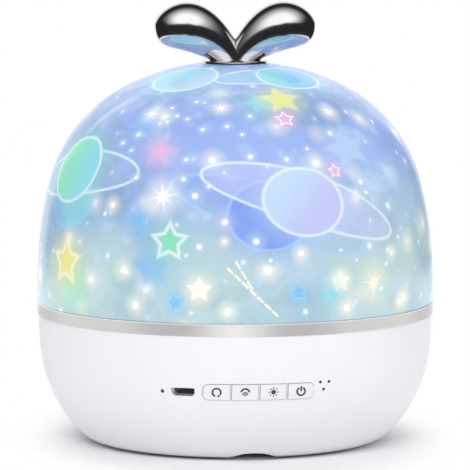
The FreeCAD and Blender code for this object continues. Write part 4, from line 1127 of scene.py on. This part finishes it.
def makeGlossRoom():  # dark walls with a wide soft box in front, open at the back and below
    mesh = bmesh.new()
    bmesh.ops.create_uvsphere(mesh, u_segments=48, v_segments=32, radius=glossRoom["radius"])
    low = [vert for vert in mesh.verts if vert.co.z < -0.01]
    bmesh.ops.delete(mesh, geom=low, context="VERTS")

    def build(tree, glow, blend):
        ray = vectorMaths(tree, "NORMALIZE", objectPoint(tree))
        x, y, z = apart(tree, ray)[0:3]
        side = maths(tree, "DIVIDE", x, glossRoom["glowSide"])
        rise = maths(tree, "SUBTRACT", z, glossRoom["glowHeight"])
        rise = maths(tree, "DIVIDE", rise, glossRoom["glowTall"])
        soft = ease(tree, flatReach(tree, side, rise), 1.15, 0.4)
        front = ease(tree, y, *glossRoom["frontFade"])
        lit = maths(tree, "MULTIPLY", soft, front)
        tree.links.new(blendColour(tree, lit, glossRoom["dark"], white), glow.inputs["Color"])
        tree.links.new(spread(tree, lit, 1.0, glossRoom["glow"]), glow.inputs["Strength"])
        ahead = ease(tree, y, *glossRoom["backFade"])
        shown = maths(tree, "MULTIPLY", ahead, ease(tree, z, *glossRoom["lowFade"]))
        tree.links.new(shown, blend.inputs[0])

    addGlossOnly("glossRoom", mesh, build)


def makeFrontBand():  # a low dark band round the front, above what the ring reflects
    mesh = bmesh.new()
    pairs = []
    for i in range(glossRoom["bandSteps"] + 1):
        turn = math.radians(glossRoom["bandSpan"] * (2 * i / glossRoom["bandSteps"] - 1))
        x = math.sin(turn) * glossRoom["bandReach"]
        y = -math.cos(turn) * glossRoom["bandReach"]
        pairs.append([mesh.verts.new((x, y, z)) for z in glossRoom["bandHeights"]])
    for first, second in zip(pairs, pairs[1:]):
        mesh.faces.new((first[0], second[0], second[1], first[1]))

    def build(tree, glow, blend):
        glow.inputs["Color"].default_value = glossRoom["dark"]
        z = apart(tree, objectPoint(tree))[2]
        above = ease(tree, z, *glossRoom["bandLowFade"])
        shown = maths(tree, "MULTIPLY", above, ease(tree, z, *glossRoom["bandHighFade"]))
        tree.links.new(shown, blend.inputs[0])

    addGlossOnly("frontBand", mesh, build)


makeWorld()
makeFloor()
for name, (place, size, power) in studio["lamps"].items():
    addLamp(name, place, size, power)
makeGlossRoom()
makeFrontBand()

photoView = {
    "lens": 343.6, "sensor": 36.0, "place": (-0.1784, -1.4526, 0.2262), "target": (0, 0, 0.0672),
}

cameraData = bpy.data.cameras.new("photoCamera")
cameraData.lens = photoView["lens"]
cameraData.sensor_width = photoView["sensor"]
cameraData.clip_end = 100
photoCamera = bpy.data.objects.new("photoCamera", cameraData)
bpy.context.scene.collection.objects.link(photoCamera)
aimed(photoCamera, photoView["place"], photoView["target"])
bpy.context.scene.camera = photoCamera
bpy.context.scene.view_settings.view_transform = "Standard"
print("studio set")
